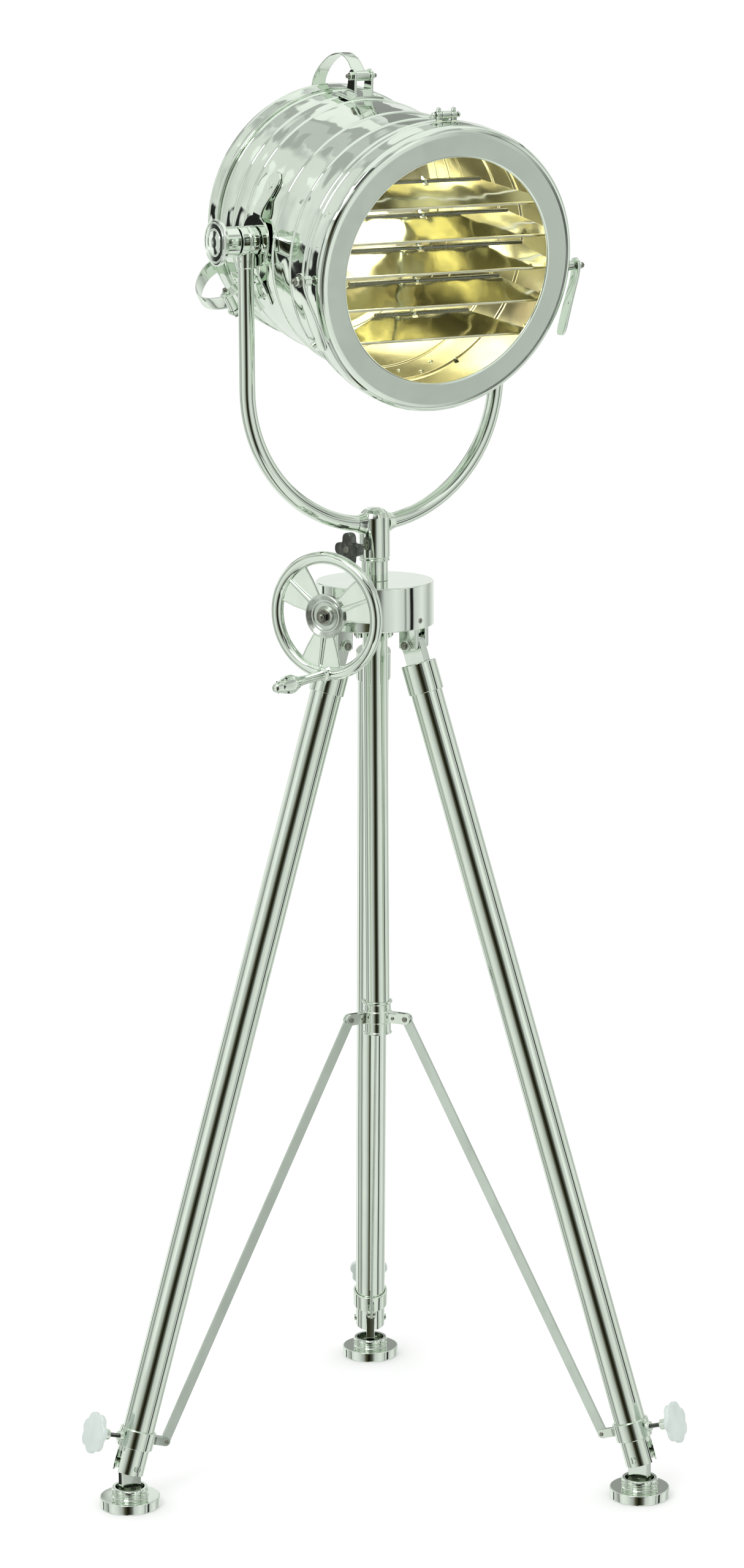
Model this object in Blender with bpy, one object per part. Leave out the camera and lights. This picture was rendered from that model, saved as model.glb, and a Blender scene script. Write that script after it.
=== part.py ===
"""Tripod floor lamp: a spotlight head with louvres in a fork on a folding tripod."""

import math

import bmesh
import bpy
from mathutils import Matrix, Vector

# Clearances
GAP = 0.0003  # between two pieces that touch or turn in each other
LAP = 0.0008  # how far joined shapes run into each other

# Sides of a round piece
FINE = 40
MEDIUM = 20
COARSE = 12

# Tripod
LEG_AZIMUTHS = {"right": -30, "left": 210, "back": 90}
HUB_RADIUS = 0.0661
HUB_BOTTOM = 0.9755
HUB_TOP = 1.0249
HINGE_OUT = 0.048  # leg hinge from the mast axis
HINGE_HEIGHT = 0.957
ANKLE_OUT = 0.332  # foot pivot from the mast axis
ANKLE_HEIGHT = 0.0475
TONGUE_WIDTH = 0.024
TONGUE_THICK = 0.0135
LUG_THICK = 0.009
LUG_WIDTH = 0.021
LUG_DROP = 0.0235
BOLT_RADIUS = 0.0035
LEG_RADIUS = 0.0178
LEG_WALL = 0.0018
LEG_CAP_WALL = 0.0018
LEG_CAP_RADIUS = LEG_RADIUS + GAP + LEG_CAP_WALL
LEG_CAP_START = 0.0225  # down the leg from its hinge
LEG_CAP_LENGTH = 0.034
LEG_END = 0.008  # tube below the foot pivot

# Feet
DISC_RADIUS = 0.034
DISC_THICK = 0.0117
CUP_RADIUS = 0.0205
CUP_TOP = 0.0227
CUP_BORE = 0.0165
BLADE_WIDTH = 2 * (LEG_RADIUS - LEG_WALL) - 0.0082  # clears the bore of the leg
BLADE_THICK = 0.0103

# Lower clamp rings and their knobs
RING_UP = 0.032  # ring centre above the foot pivot, along the leg
RING_LENGTH = 0.021
RING_WALL = 0.0027
RING_PIN_IN = 0.038  # strut pin from the leg axis
EAR_HEIGHT = 0.0098
EAR_THICK = 0.0024
KNOB_SHAFT = 0.0025
KNOB_HUB_START = 0.037
KNOB_FACE = 0.0585
KNOB_RADIUS = 0.0235

# Mast, sliding collar and struts
POST_RADIUS = 0.0141
POST_BORE = 0.009
POST_END = 0.508
STEM_STEP = 0.0010  # the stem above the hub stands proud of the post
STEM_RADIUS = POST_RADIUS + STEM_STEP
STEM_TOP = 1.0768
SPIGOT_RADIUS = STEM_RADIUS - 0.0026  # turned down where the fork sits
COLLAR_LOW = 0.5019
COLLAR_HIGH = 0.5401
COLLAR_WALL = 0.0013
COLLAR_RADIUS = POST_RADIUS + GAP + COLLAR_WALL
COLLAR_RING_RADIUS = COLLAR_RADIUS + 0.0011
COLLAR_PIN_OUT = COLLAR_RADIUS + 0.0215
COLLAR_PIN_HEIGHT = 0.522
COLLAR_EAR_HEIGHT = 0.0145
STRUT_WIDTH = 0.012
STRUT_THICK = 0.003

# Handwheel
WHEEL_AZIMUTH = 236
WHEEL_OUT = 0.1
WHEEL_HEIGHT = 0.999
WHEEL_RIM_RADIUS = 0.0645
WHEEL_RIM_TUBE = 0.007
WHEEL_CAP_RADIUS = 0.0245
CRANK_LENGTH = 0.104
CRANK_RADIUS = 0.0052

# Fork
FORK_RADIUS = 0.158
FORK_TUBE = 0.0089
FORK_BOTTOM = 1.0885
SOCKET_WALL = 0.0046
SOCKET_RADIUS = SPIGOT_RADIUS + GAP + SOCKET_WALL
SOCKET_LOW = 1.0475
PAN_KNOB_AZIMUTH = 225
PAN_KNOB_HEIGHT = 1.0645
BOSS_IN = FORK_RADIUS - 0.0096
BOSS_OUT = FORK_RADIUS + 0.0110
BOSS_RADIUS = 0.0165
STUD_RADIUS = 0.006
TILT_CAP_START = BOSS_OUT + 0.0210
TILT_CAP_END = TILT_CAP_START + 0.0070

# Head: z runs forward from the tilt axis, y up, x to the viewer's right
HEAD_HEIGHT = 1.4096
HEAD_PAN = 27.6
HEAD_TILT = 9.85
DRUM_BANDS = [(-0.0940, 0.1400), (-0.0640, 0.1412), (-0.0360, 0.1424), (0.0360, 0.1445), (0.0800, 0.1470)]
DRUM_FLANGE = (0.1230, 0.1545)
DRUM_FRONT = 0.1330
DRUM_WALL = 0.0019
COVER_RIM_RADIUS = 0.1435
COVER_RIM_BACK = -0.119
BEZEL_BACK = 0.1340
BEZEL_FACE = 0.1662
BEZEL_RADIUS = 0.157
BEZEL_WALL = 0.0035
OPENING_RADIUS = 0.1236
DOOR_PIN_HEIGHT = 0.1625
DOOR_PIN_FORWARD = 0.1335

# Louvre
SLAT_COUNT = 5
SLAT_PITCH = 0.0363
SLAT_WIDTH = 0.0375
SLAT_ANGLE = 34  # rear edge above front edge
SLAT_FORWARD = 0.150
SLAT_MIDDLE_HEIGHT = -0.006
SLAT_BEAD = 0.0016
SLAT_THICK = 0.0012
SLAT_BACK_HALVES = [0.0565, 0.0948, 0.117, 0.0918, 0.0565]
LINK_X = -0.0105
LINK_THICK = 0.0016
LINK_BACK = 0.0062  # back of the link behind the rods
AXLE_RADIUS = 0.003
LEVER_X = 0.171
LEVER_LENGTH = 0.072
LEVER_IN = 0.0228
LEVER_ANGLE = 16
LEVER_WIDTH = 0.016
LEVER_THICK = 0.003

# Strap clamps that hold the rear cover
CLAMP_ANGLES = {"top": 90, "left": 210, "right": 330}
CLAMP_PIN_FORWARD = -0.052
CLAMP_PIN_RADIUS = 0.1650
CLAMP_STRAP_WIDTH = 0.0175
CLAMP_EAR_THICK = 0.0028
CLAMP_ARCH = [(-0.060, 0.1700), (-0.074, 0.1790), (-0.092, 0.1815), (-0.112, 0.1750),
              (-0.130, 0.1620), (-0.143, 0.1460), (-0.1465, 0.1300)]
CLAMP_THICK = 0.003

MATERIALS = {
    "polished_metal": ((0.80, 0.82, 0.79), 1.0, 0.12),
    "polished_alloy": ((0.80, 0.82, 0.79), 1.0, 0.14),
    "satin_metal": ((0.70, 0.73, 0.70), 1.0, 0.35),
    "cast_metal": ((0.62, 0.64, 0.60), 1.0, 0.42),
    "dark_metal": ((0.06, 0.06, 0.055), 0.7, 0.4),
    "bulb_glass": ((0.95, 0.93, 0.85), 0.0, 0.05),
    "socket_plastic": ((0.04, 0.04, 0.04), 0.0, 0.45),
}


def clear_scene():
    for obj in list(bpy.data.objects):
        bpy.data.objects.remove(obj, do_unlink=True)


def make_materials():
    for name, (color, metallic, roughness) in MATERIALS.items():
        made = bpy.data.materials.new(name)
        made.use_nodes = True
        shader = made.node_tree.nodes["Principled BSDF"]
        shader.inputs["Base Color"].default_value = (*color, 1.0)
        shader.inputs["Metallic"].default_value = metallic
        shader.inputs["Roughness"].default_value = roughness


def empty(name, parent, matrix):
    obj = bpy.data.objects.new(name, None)
    bpy.context.collection.objects.link(obj)
    obj.parent = parent
    obj.matrix_local = matrix
    return obj


def place(x=0.0, y=0.0, z=0.0):
    return Matrix.Translation((x, y, z))


def turn(degrees, axis):
    return Matrix.Rotation(math.radians(degrees), 4, axis)


def along_x(sign=1):
    """Turns a shape made around Z so that it runs along +X or -X."""
    return turn(90 * sign, "Y")


ALONG_Y = turn(-90, "X")


# ---- solids, each a bmesh that is closed and faces outward ----

def solid(verts, faces):
    bm = bmesh.new()
    made = [bm.verts.new(v) for v in verts]
    for face in faces:
        bm.faces.new([made[i] for i in face])
    bmesh.ops.recalc_face_normals(bm, faces=bm.faces[:])
    return bm


def lathe(profile, segments=MEDIUM, closed=False):
    """Turns (radius, z) points around Z. A closed profile is a loop that stays off the axis."""
    verts, rows = [], []
    for radius, z in profile:
        if radius == 0:
            rows.append([len(verts)] * segments)
            verts.append((0.0, 0.0, z))
            continue
        rows.append(list(range(len(verts), len(verts) + segments)))
        for i in range(segments):
            a = 2 * math.pi * i / segments
            verts.append((radius * math.cos(a), radius * math.sin(a), z))
    pairs = list(zip(rows, rows[1:] + rows[:1] if closed else rows[1:]))
    faces = []
    for low, high in pairs:
        for i in range(segments):
            j = (i + 1) % segments
            corners = []
            for v in (low[i], low[j], high[j], high[i]):
                if v not in corners:
                    corners.append(v)
            if len(corners) > 2:
                faces.append(corners)
    return solid(verts, faces)


def tube(outer, inner, low, high, segments=MEDIUM):
    return lathe([(outer, low), (outer, high), (inner, high), (inner, low)], segments, closed=True)


def disc(radius, low, high, segments=MEDIUM):
    return lathe([(0, low), (radius, low), (radius, high), (0, high)], segments)


def prism(outline, low, high):
    """An outline in X and Y drawn out from z = low to z = high."""
    n = len(outline)
    verts = [(x, y, low) for x, y in outline] + [(x, y, high) for x, y in outline]
    faces = [list(range(n)), list(range(n, 2 * n))]
    faces += [[i, (i + 1) % n, n + (i + 1) % n, n + i] for i in range(n)]
    return solid(verts, faces)


def box(x, y, z):
    """Each of x, y and z is a (low, high) pair."""
    return prism([(x[0], y[0]), (x[1], y[0]), (x[1], y[1]), (x[0], y[1])], *z)


def loft(sections):
    """Joins loops of the same length, one after the next, and caps both ends."""
    n = len(sections[0])
    verts = [p for section in sections for p in section]
    faces = [list(range(n)), [len(verts) - n + i for i in range(n)]]
    for s in range(len(sections) - 1):
        for i in range(n):
            j = (i + 1) % n
            faces.append([s * n + i, s * n + j, (s + 1) * n + j, (s + 1) * n + i])
    return solid(verts, faces)


def sweep(path, radius, segments=COARSE):
    """A round bar along a path that lies in a plane y = constant."""
    sections = []
    for i, point in enumerate(path):
        before, after = path[max(i - 1, 0)], path[min(i + 1, len(path) - 1)]
        heading = (Vector(after) - Vector(before)).normalized()
        side = Vector((0, 1, 0))
        up = side.cross(heading)
        ring = []
        for k in range(segments):
            a = 2 * math.pi * k / segments
            ring.append(Vector(point) + radius * (math.cos(a) * side + math.sin(a) * up))
        sections.append(ring)
    return loft(sections)


def arc(cx, cy, radius, start, end, steps):
    return [(cx + radius * math.cos(math.radians(start + (end - start) * i / steps)),
             cy + radius * math.sin(math.radians(start + (end - start) * i / steps)))
            for i in range(steps + 1)]


def moved(bm, matrix):
    bmesh.ops.transform(bm, matrix=matrix, verts=bm.verts[:])
    return bm


def piece(name, bm, slot, parent, joined=(), cut=(), matrix=None):
    """One sub-part: the base shape with shapes joined to it and cut from it."""
    mesh = bpy.data.meshes.new(name)
    bm.to_mesh(mesh)
    bm.free()
    obj = bpy.data.objects.new(name, mesh)
    bpy.context.collection.objects.link(obj)
    helpers = []
    for operation, shapes in (("UNION", joined), ("DIFFERENCE", cut)):
        for shape in shapes:
            tool_mesh = bpy.data.meshes.new(name + "_tool")
            shape.to_mesh(tool_mesh)
            shape.free()
            tool = bpy.data.objects.new(name + "_tool", tool_mesh)
            bpy.context.collection.objects.link(tool)
            modifier = obj.modifiers.new("shape", "BOOLEAN")
            modifier.operation = operation
            modifier.solver = "EXACT"
            modifier.object = tool
            helpers.append(tool)
    if helpers:
        graph = bpy.context.evaluated_depsgraph_get()
        done = bpy.data.meshes.new_from_object(obj.evaluated_get(graph))
        obj.modifiers.clear()
        obj.data = done
        for tool in helpers:
            bpy.data.objects.remove(tool, do_unlink=True)
    obj.data.materials.clear()
    obj.data.materials.append(bpy.data.materials[slot])
    obj.data.polygons.foreach_set("use_smooth", [True] * len(obj.data.polygons))
    obj.data.set_sharp_from_angle(angle=math.radians(35))
    obj.parent = parent
    obj.matrix_local = matrix or Matrix.Identity(4)
    return obj


# ---- shapes used more than once ----

def hex_nut(radius, low, high):
    return prism(arc(0, 0, radius, 0, 300, 5), low, high)


def lobed_disc(radius, depth, lobes, low, high):
    steps = lobes * 6
    outline = []
    for i in range(steps):
        a = 2 * math.pi * i / steps
        r = radius - depth * (0.5 - 0.5 * math.cos(lobes * a)) ** 2
        outline.append((r * math.cos(a), r * math.sin(a)))
    return prism(outline, low, high)


def rounded_bar(half_width, length, thick, end_steps=8):
    """A flat bar in X and Y from the origin along -Y, with a round end at each pin."""
    outline = arc(0, 0, half_width, 0, 180, end_steps)
    outline += arc(0, -length, half_width, 180, 360, end_steps)
    return prism(outline, -thick / 2, thick / 2)


def ear(pin, height, root, y_low, y_high):
    """A cheek beside a pin at x = pin, rooted at x = root, standing in X and Z."""
    h = height / 2
    s = 1 if pin > root else -1
    outline = [(root, -h)] + [(pin + s * x, z) for x, z in arc(0, 0, h, -90, 90, 6)] + [(root, h)]
    return moved(prism(outline, -y_high, -y_low), turn(90, "X"))


# ---- the stand ----

def build_hub(root):
    bore = POST_RADIUS + GAP
    rim = 0.0012
    body = lathe([(bore, HUB_BOTTOM), (HUB_RADIUS - rim, HUB_BOTTOM), (HUB_RADIUS, HUB_BOTTOM + rim),
                  (HUB_RADIUS, HUB_TOP - rim), (HUB_RADIUS - rim, HUB_TOP), (bore, HUB_TOP)],
                 FINE, closed=True)
    lugs, holes = [], []
    inner = TONGUE_THICK / 2 + GAP
    for azimuth in LEG_AZIMUTHS.values():
        for side in (-1, 1):
            y = sorted((side * inner, side * (inner + LUG_THICK)))
            lug = box((HINGE_OUT - 0.0095, HINGE_OUT - 0.0095 + LUG_WIDTH), y,
                      (HUB_BOTTOM - LUG_DROP, HUB_BOTTOM + LAP))
            lugs.append(moved(lug, turn(azimuth, "Z")))
        hole = disc(BOLT_RADIUS + GAP, -0.03, 0.03, COARSE)
        hole = moved(hole, place(HINGE_OUT, 0, HINGE_HEIGHT) @ ALONG_Y)
        holes.append(moved(hole, turn(azimuth, "Z")))
    boss = lathe([(0, HUB_RADIUS - 0.006), (0.0165, HUB_RADIUS - 0.006), (0.0150, HUB_RADIUS + 0.006),
                  (0.0110, WHEEL_OUT - 0.0150), (0, WHEEL_OUT - 0.0150)], MEDIUM)
    axle_hole = disc(0.004 + GAP, HUB_RADIUS + 0.002, WHEEL_OUT, COARSE)
    outward = place(z=WHEEL_HEIGHT) @ turn(WHEEL_AZIMUTH, "Z") @ along_x()
    piece("hub", body, "polished_alloy", root,
          lugs + [moved(boss, outward)], holes + [moved(axle_hole, outward)])
    piece("hub_nut", hex_nut(POST_RADIUS + 0.0087, HUB_BOTTOM - 0.0085, HUB_BOTTOM - GAP), "dark_metal", root,
          cut=[disc(POST_RADIUS + GAP, HUB_BOTTOM - 0.02, HUB_BOTTOM + 0.01)])
    for name, azimuth in LEG_AZIMUTHS.items():
        end = inner + LUG_THICK + GAP
        bolt = disc(BOLT_RADIUS, -end - 0.006, end + 0.006, COARSE)
        piece(f"hinge_bolt_{name}", bolt, "polished_metal", root,
              [hex_nut(0.0068, end, end + 0.0042), hex_nut(0.0068, -end - 0.0042, -end)],
              matrix=turn(azimuth, "Z") @ place(HINGE_OUT, 0, HINGE_HEIGHT) @ ALONG_Y)


def build_post(root):
    profile = [(POST_BORE, POST_END), (POST_RADIUS, POST_END), (POST_RADIUS, HUB_TOP + GAP),
               (STEM_RADIUS, HUB_TOP + GAP), (STEM_RADIUS, SOCKET_LOW - GAP), (SPIGOT_RADIUS, SOCKET_LOW - GAP),
               (SPIGOT_RADIUS, STEM_TOP), (POST_BORE, STEM_TOP)]
    piece("post", lathe(profile, MEDIUM, closed=True), "polished_metal", root)


def build_collar(root):
    low, high = COLLAR_LOW - COLLAR_PIN_HEIGHT, COLLAR_HIGH - COLLAR_PIN_HEIGHT
    bore = POST_RADIUS + GAP
    half = COLLAR_EAR_HEIGHT / 2 - 0.0006
    body = lathe([(bore, low), (COLLAR_RADIUS, low), (COLLAR_RADIUS, -half), (COLLAR_RING_RADIUS, -half),
                  (COLLAR_RING_RADIUS, half), (COLLAR_RADIUS, half + 0.001), (COLLAR_RADIUS, high),
                  (bore, high)], MEDIUM, closed=True)
    ears = []
    near = STRUT_THICK / 2 + GAP
    for azimuth in LEG_AZIMUTHS.values():
        for side in (-1, 1):
            y = sorted((side * near, side * (near + EAR_THICK)))
            cheek = ear(COLLAR_PIN_OUT, COLLAR_EAR_HEIGHT, COLLAR_RADIUS - 0.0006, *y)
            head = disc(0.0031, near + EAR_THICK - LAP, near + EAR_THICK + 0.0012, COARSE)
            head = moved(head, place(COLLAR_PIN_OUT) @ turn(-90 * side, "X"))
            ears += [moved(cheek, turn(azimuth, "Z")), moved(head, turn(azimuth, "Z"))]
    collar = piece("collar", body, "polished_metal", root, ears, matrix=place(z=COLLAR_PIN_HEIGHT))
    leg_angle = math.atan2(ANKLE_OUT - HINGE_OUT, HINGE_HEIGHT - ANKLE_HEIGHT)
    leg_length = math.hypot(ANKLE_OUT - HINGE_OUT, HINGE_HEIGHT - ANKLE_HEIGHT)
    reach = leg_length - RING_UP
    pin_out = HINGE_OUT + reach * math.sin(leg_angle) - RING_PIN_IN * math.cos(leg_angle)
    pin_height = HINGE_HEIGHT - reach * math.cos(leg_angle) - RING_PIN_IN * math.sin(leg_angle)
    length = math.hypot(pin_out - COLLAR_PIN_OUT, COLLAR_PIN_HEIGHT - pin_height)
    lean = math.degrees(math.atan2(pin_out - COLLAR_PIN_OUT, COLLAR_PIN_HEIGHT - pin_height))
    for name, azimuth in LEG_AZIMUTHS.items():
        bar = moved(rounded_bar(STRUT_WIDTH / 2, length, STRUT_THICK), turn(90, "X"))
        matrix = turn(azimuth, "Z") @ place(COLLAR_PIN_OUT) @ turn(-lean, "Y")
        piece(f"strut_{name}", bar, "satin_metal", collar, matrix=matrix)
    return leg_angle, leg_length


def build_leg(root, name, azimuth, leg_angle, leg_length):
    """In the leg's frame the hinge is the origin, the leg runs along -Z and +X is outward."""
    leg = empty(f"leg_frame_{name}", root, turn(azimuth, "Z") @ place(HINGE_OUT, 0, HINGE_HEIGHT)
                @ turn(-math.degrees(leg_angle), "Y"))
    half = TONGUE_WIDTH / 2
    cap_end = LEG_CAP_START + LEG_CAP_LENGTH
    sleeve = LEG_RADIUS + GAP
    cap = lathe([(0, -LEG_CAP_START), (LEG_CAP_RADIUS - 0.0008, -LEG_CAP_START),
                 (LEG_CAP_RADIUS, -LEG_CAP_START - 0.0008), (LEG_CAP_RADIUS, -cap_end), (sleeve, -cap_end),
                 (sleeve, -LEG_CAP_START - 0.004), (0, -LEG_CAP_START - 0.004)], MEDIUM)
    outline = [(-half, -LEG_CAP_START - 0.002), (half, -LEG_CAP_START - 0.002)]
    outline += [(half, 0.004), (half - 0.005, 0.0095), (-half + 0.005, 0.0095), (-half, 0.004)]
    tongue = moved(prism(outline, -TONGUE_THICK / 2, TONGUE_THICK / 2), turn(90, "X"))
    hole = moved(disc(BOLT_RADIUS + GAP, -0.02, 0.02, COARSE), ALONG_Y)
    piece(f"leg_head_{name}", cap, "polished_metal", leg, [tongue], [hole])

    end = leg_length + LEG_END
    shaft = tube(LEG_RADIUS, LEG_RADIUS - LEG_WALL, -end, -LEG_CAP_START - 0.004 - GAP, MEDIUM)
    slot_half = BLADE_THICK / 2 + GAP
    slot = box((-0.03, 0.03), (-slot_half, slot_half), (-end - 0.01, -leg_length + 0.016))
    screw_hole = moved(disc(0.0022 + GAP, -0.03, 0.03, COARSE), place(z=-leg_length) @ ALONG_Y)
    piece(f"leg_tube_{name}", shaft, "polished_metal", leg, cut=[slot, screw_hole])

    middle = place(z=RING_UP - leg_length)
    ring_out = LEG_RADIUS + GAP + RING_WALL
    ring = tube(ring_out, LEG_RADIUS + GAP, -RING_LENGTH / 2, RING_LENGTH / 2, MEDIUM)
    near = STRUT_THICK / 2 + GAP
    ears = []
    for side in (-1, 1):
        y = sorted((side * near, side * (near + EAR_THICK)))
        head = disc(0.0024, near + EAR_THICK - LAP, near + EAR_THICK + 0.001, COARSE)
        ears += [ear(-RING_PIN_IN, EAR_HEIGHT, -ring_out + 0.0012, *y),
                 moved(head, place(-RING_PIN_IN) @ turn(-90 * side, "X"))]
    boss = moved(disc(0.0055, LEG_RADIUS + 0.0012, ring_out + 0.0035, COARSE), along_x())
    thread = moved(disc(KNOB_SHAFT + GAP, LEG_RADIUS - 0.002, ring_out + 0.01, COARSE), along_x())
    piece(f"clamp_ring_{name}", ring, "polished_metal", leg, ears + [boss], [thread], matrix=middle)

    knob = lobed_disc(KNOB_RADIUS, 0.0028, 7, KNOB_FACE - 0.006, KNOB_FACE)
    shaft = disc(KNOB_SHAFT, LEG_RADIUS + GAP, KNOB_HUB_START + LAP, COARSE)
    hub = disc(0.006, KNOB_HUB_START, KNOB_FACE - 0.006 + LAP, COARSE)
    piece(f"clamp_knob_{name}", knob, "cast_metal", leg, [shaft, hub], matrix=middle @ along_x())

    head_start = LEG_RADIUS + GAP
    screw = lathe([(0, -head_start - 0.0015), (0.0026, -head_start - 0.0013), (0.0036, -head_start),
                   (0.0022, -head_start), (0.0022, head_start), (0.0036, head_start),
                   (0.0026, head_start + 0.0013), (0, head_start + 0.0015)], 16)
    piece(f"foot_screw_{name}", screw, "satin_metal", leg, matrix=place(z=-leg_length) @ ALONG_Y)


def build_foot(root, name, azimuth):
    ankle = empty(f"foot_frame_{name}", root, turn(azimuth, "Z") @ place(ANKLE_OUT, 0, ANKLE_HEIGHT))
    down = -ANKLE_HEIGHT
    half = BLADE_WIDTH / 2
    outline = arc(0, 0, half, 0, 180, 10) + [(-half, down + 0.010), (half, down + 0.010)]
    blade = moved(prism(outline, -BLADE_THICK / 2, BLADE_THICK / 2), turn(90, "X"))
    plug = disc(CUP_BORE - 0.001, down + 0.0062, down + 0.0125, MEDIUM)
    hole = moved(disc(0.0022 + GAP, -0.02, 0.02, COARSE), ALONG_Y)
    piece(f"foot_stem_{name}", blade, "polished_metal", ankle, [plug], [hole])
    profile = [(0, down), (DISC_RADIUS - 0.001, down), (DISC_RADIUS, down + 0.001),
               (DISC_RADIUS, down + DISC_THICK - 0.0015), (DISC_RADIUS - 0.0015, down + DISC_THICK),
               (CUP_RADIUS - 0.0008, down + DISC_THICK), (CUP_RADIUS, down + 0.0145),
               (CUP_RADIUS - 0.0015, down + 0.0165), (CUP_RADIUS, down + 0.019),
               (CUP_RADIUS - 0.0006, down + CUP_TOP), (CUP_BORE, down + CUP_TOP),
               (CUP_BORE, down + 0.0058), (0, down + 0.0058)]
    piece(f"foot_disc_{name}", lathe(profile, MEDIUM), "cast_metal", ankle)


def build_handwheel(root):
    """In the wheel's frame the axle runs along Z, outward from the mast, and X is down."""
    wheel = empty("wheel_frame", root, place(z=WHEEL_HEIGHT) @ turn(WHEEL_AZIMUTH, "Z") @ along_x())
    out = WHEEL_OUT
    rim_profile = [(WHEEL_RIM_RADIUS + x, out + z) for x, z in arc(0, 0, WHEEL_RIM_TUBE, 0, 324, 9)]
    rim = lathe(rim_profile, FINE, closed=True)
    bore = 0.004 + GAP
    cap = lathe([(bore, out - 0.012), (0.013, out - 0.012), (0.0215, out - 0.004), (WHEEL_CAP_RADIUS, out),
                 (WHEEL_CAP_RADIUS, out + 0.005), (WHEEL_CAP_RADIUS - 0.002, out + 0.006),
                 (0.016, out + 0.002), (0.009, out + 0.0015), (0.009, out + 0.006), (bore, out + 0.006)],
                32, closed=True)
    spokes = []
    for middle in (352, 112, 232):
        wide, narrow = 25, 30
        inner = arc(0, 0, WHEEL_CAP_RADIUS - 0.003, -narrow, narrow, 4)
        outer = arc(0, 0, WHEEL_RIM_RADIUS - 0.003, wide, -wide, 6)
        fan = prism(inner + outer, out - 0.0012, out + 0.0012)
        rib = box((WHEEL_CAP_RADIUS - 0.003, WHEEL_RIM_RADIUS - 0.004), (-0.0028, 0.0028),
                  (out, out + 0.0045))
        at = turn(middle, "Z")
        spokes += [moved(fan, at), moved(rib, at)]
    crank_at = place(WHEEL_RIM_RADIUS, 0, out)
    spindle = lathe([(0, -0.001), (CRANK_RADIUS + 0.0022, -0.001), (CRANK_RADIUS + 0.0022, 0.011),
                     (CRANK_RADIUS, 0.013), (CRANK_RADIUS, 0.0600), (0.0035, 0.0600),
                     (0.0035, 0.0985), (0, 0.0985)], 20)
    piece("handwheel", rim, "polished_alloy", wheel, [cap] + spokes + [moved(spindle, crank_at)])
    start = 0.0600 + GAP
    grip = lathe([(0.0035 + GAP, start), (0.0062, start), (0.0082, start + 0.006), (0.0105, start + 0.013),
                  (0.0100, start + 0.021), (0.0072, start + 0.034), (0.0045, CRANK_LENGTH),
                  (0, CRANK_LENGTH + 0.0012), (0, 0.0985 + GAP), (0.0035 + GAP, 0.0985 + GAP)],
                 24, closed=True)
    piece("crank_grip", grip, "satin_metal", wheel, matrix=crank_at)
    bolt = disc(0.004, HUB_RADIUS + 0.004, out + 0.015, COARSE)
    washer = disc(0.0075, out + 0.006 + GAP, out + 0.0075, COARSE)
    nut = hex_nut(0.0068, out + 0.0074, out + 0.0125)
    piece("wheel_bolt", bolt, "dark_metal", wheel, [washer, nut])


# ---- the fork and the head ----

def build_fork(root):
    """In the fork's frame the mast axis is Z, and X runs across the head."""
    fork = empty("fork_frame", root, turn(HEAD_PAN, "Z"))
    centre = FORK_BOTTOM + FORK_RADIUS
    path = [(-FORK_RADIUS, 0, HEAD_HEIGHT - 0.006)]
    path += [(x, 0, z) for x, z in arc(0, centre, FORK_RADIUS, 180, 360, 26)]
    path += [(FORK_RADIUS, 0, HEAD_HEIGHT - 0.006)]
    bar = sweep(path, FORK_TUBE)
    bosses, holes = [], []
    for side in (-1, 1):
        at = place(z=HEAD_HEIGHT) @ along_x(side)
        bosses.append(moved(disc(BOSS_RADIUS, BOSS_IN, BOSS_OUT, MEDIUM), at))
        holes.append(moved(disc(STUD_RADIUS + GAP, BOSS_IN - 0.01, BOSS_OUT + 0.01, COARSE), at))
    socket = lathe([(0, SOCKET_LOW), (SOCKET_RADIUS, SOCKET_LOW), (SOCKET_RADIUS, FORK_BOTTOM + 0.006),
                    (SOCKET_RADIUS - 0.004, FORK_BOTTOM + 0.0135),
                    (SOCKET_RADIUS - 0.010, FORK_BOTTOM + 0.0175),
                    (0, FORK_BOTTOM + 0.0185)], MEDIUM)
    bore = disc(SPIGOT_RADIUS + GAP, SOCKET_LOW - 0.01, STEM_TOP + 0.0006, MEDIUM)
    knob_at = place(z=PAN_KNOB_HEIGHT) @ turn(PAN_KNOB_AZIMUTH - HEAD_PAN, "Z") @ along_x()
    thread = moved(disc(0.003 + GAP, 0.0, SOCKET_RADIUS + 0.01, COARSE), knob_at)
    piece("fork", bar, "polished_metal", fork, [socket] + bosses, [bore, thread] + holes)
    star = lobed_disc(0.0185, 0.008, 4, 0.036, 0.0455)
    shaft = disc(0.003, SPIGOT_RADIUS + GAP, 0.037, COARSE)
    hub = disc(0.0065, 0.0305, 0.037, COARSE)
    piece("pan_knob", star, "dark_metal", fork, [shaft, hub], matrix=knob_at)
    for side, name in ((-1, "left"), (1, "right")):
        low, start, end = BOSS_OUT + 0.002, TILT_CAP_START, TILT_CAP_END
        knob = lathe([(STUD_RADIUS + GAP, low), (BOSS_RADIUS - 0.001, low), (BOSS_RADIUS, low + 0.001),
                      (BOSS_RADIUS, start), (0.0235, start), (0.0255, start + 0.0015),
                      (0.0255, end - 0.0025), (0.0245, end - 0.0015), (0.0160, end - 0.0015),
                      (0.0155, end - 0.0005), (0.0070, end), (0, end), (0, start - 0.0012),
                      (STUD_RADIUS + GAP, start - 0.0012)], MEDIUM, closed=True)
        piece(f"tilt_knob_{name}", knob, "polished_metal", fork, matrix=place(z=HEAD_HEIGHT) @ along_x(side))
    return fork


def drum_profile():
    steps = DRUM_BANDS + [DRUM_FLANGE]
    ends = [start for start, _ in steps[1:]] + [DRUM_FRONT]
    outer = []
    for (start, radius), end in zip(steps, ends):
        outer += [(radius, start + 0.0004), (radius, end - 0.0004)]
    bands = outer[:-2]
    inner = [(radius - DRUM_WALL, z) for radius, z in bands]
    return outer + [(inner[-1][0], DRUM_FRONT)] + inner[::-1]


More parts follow.
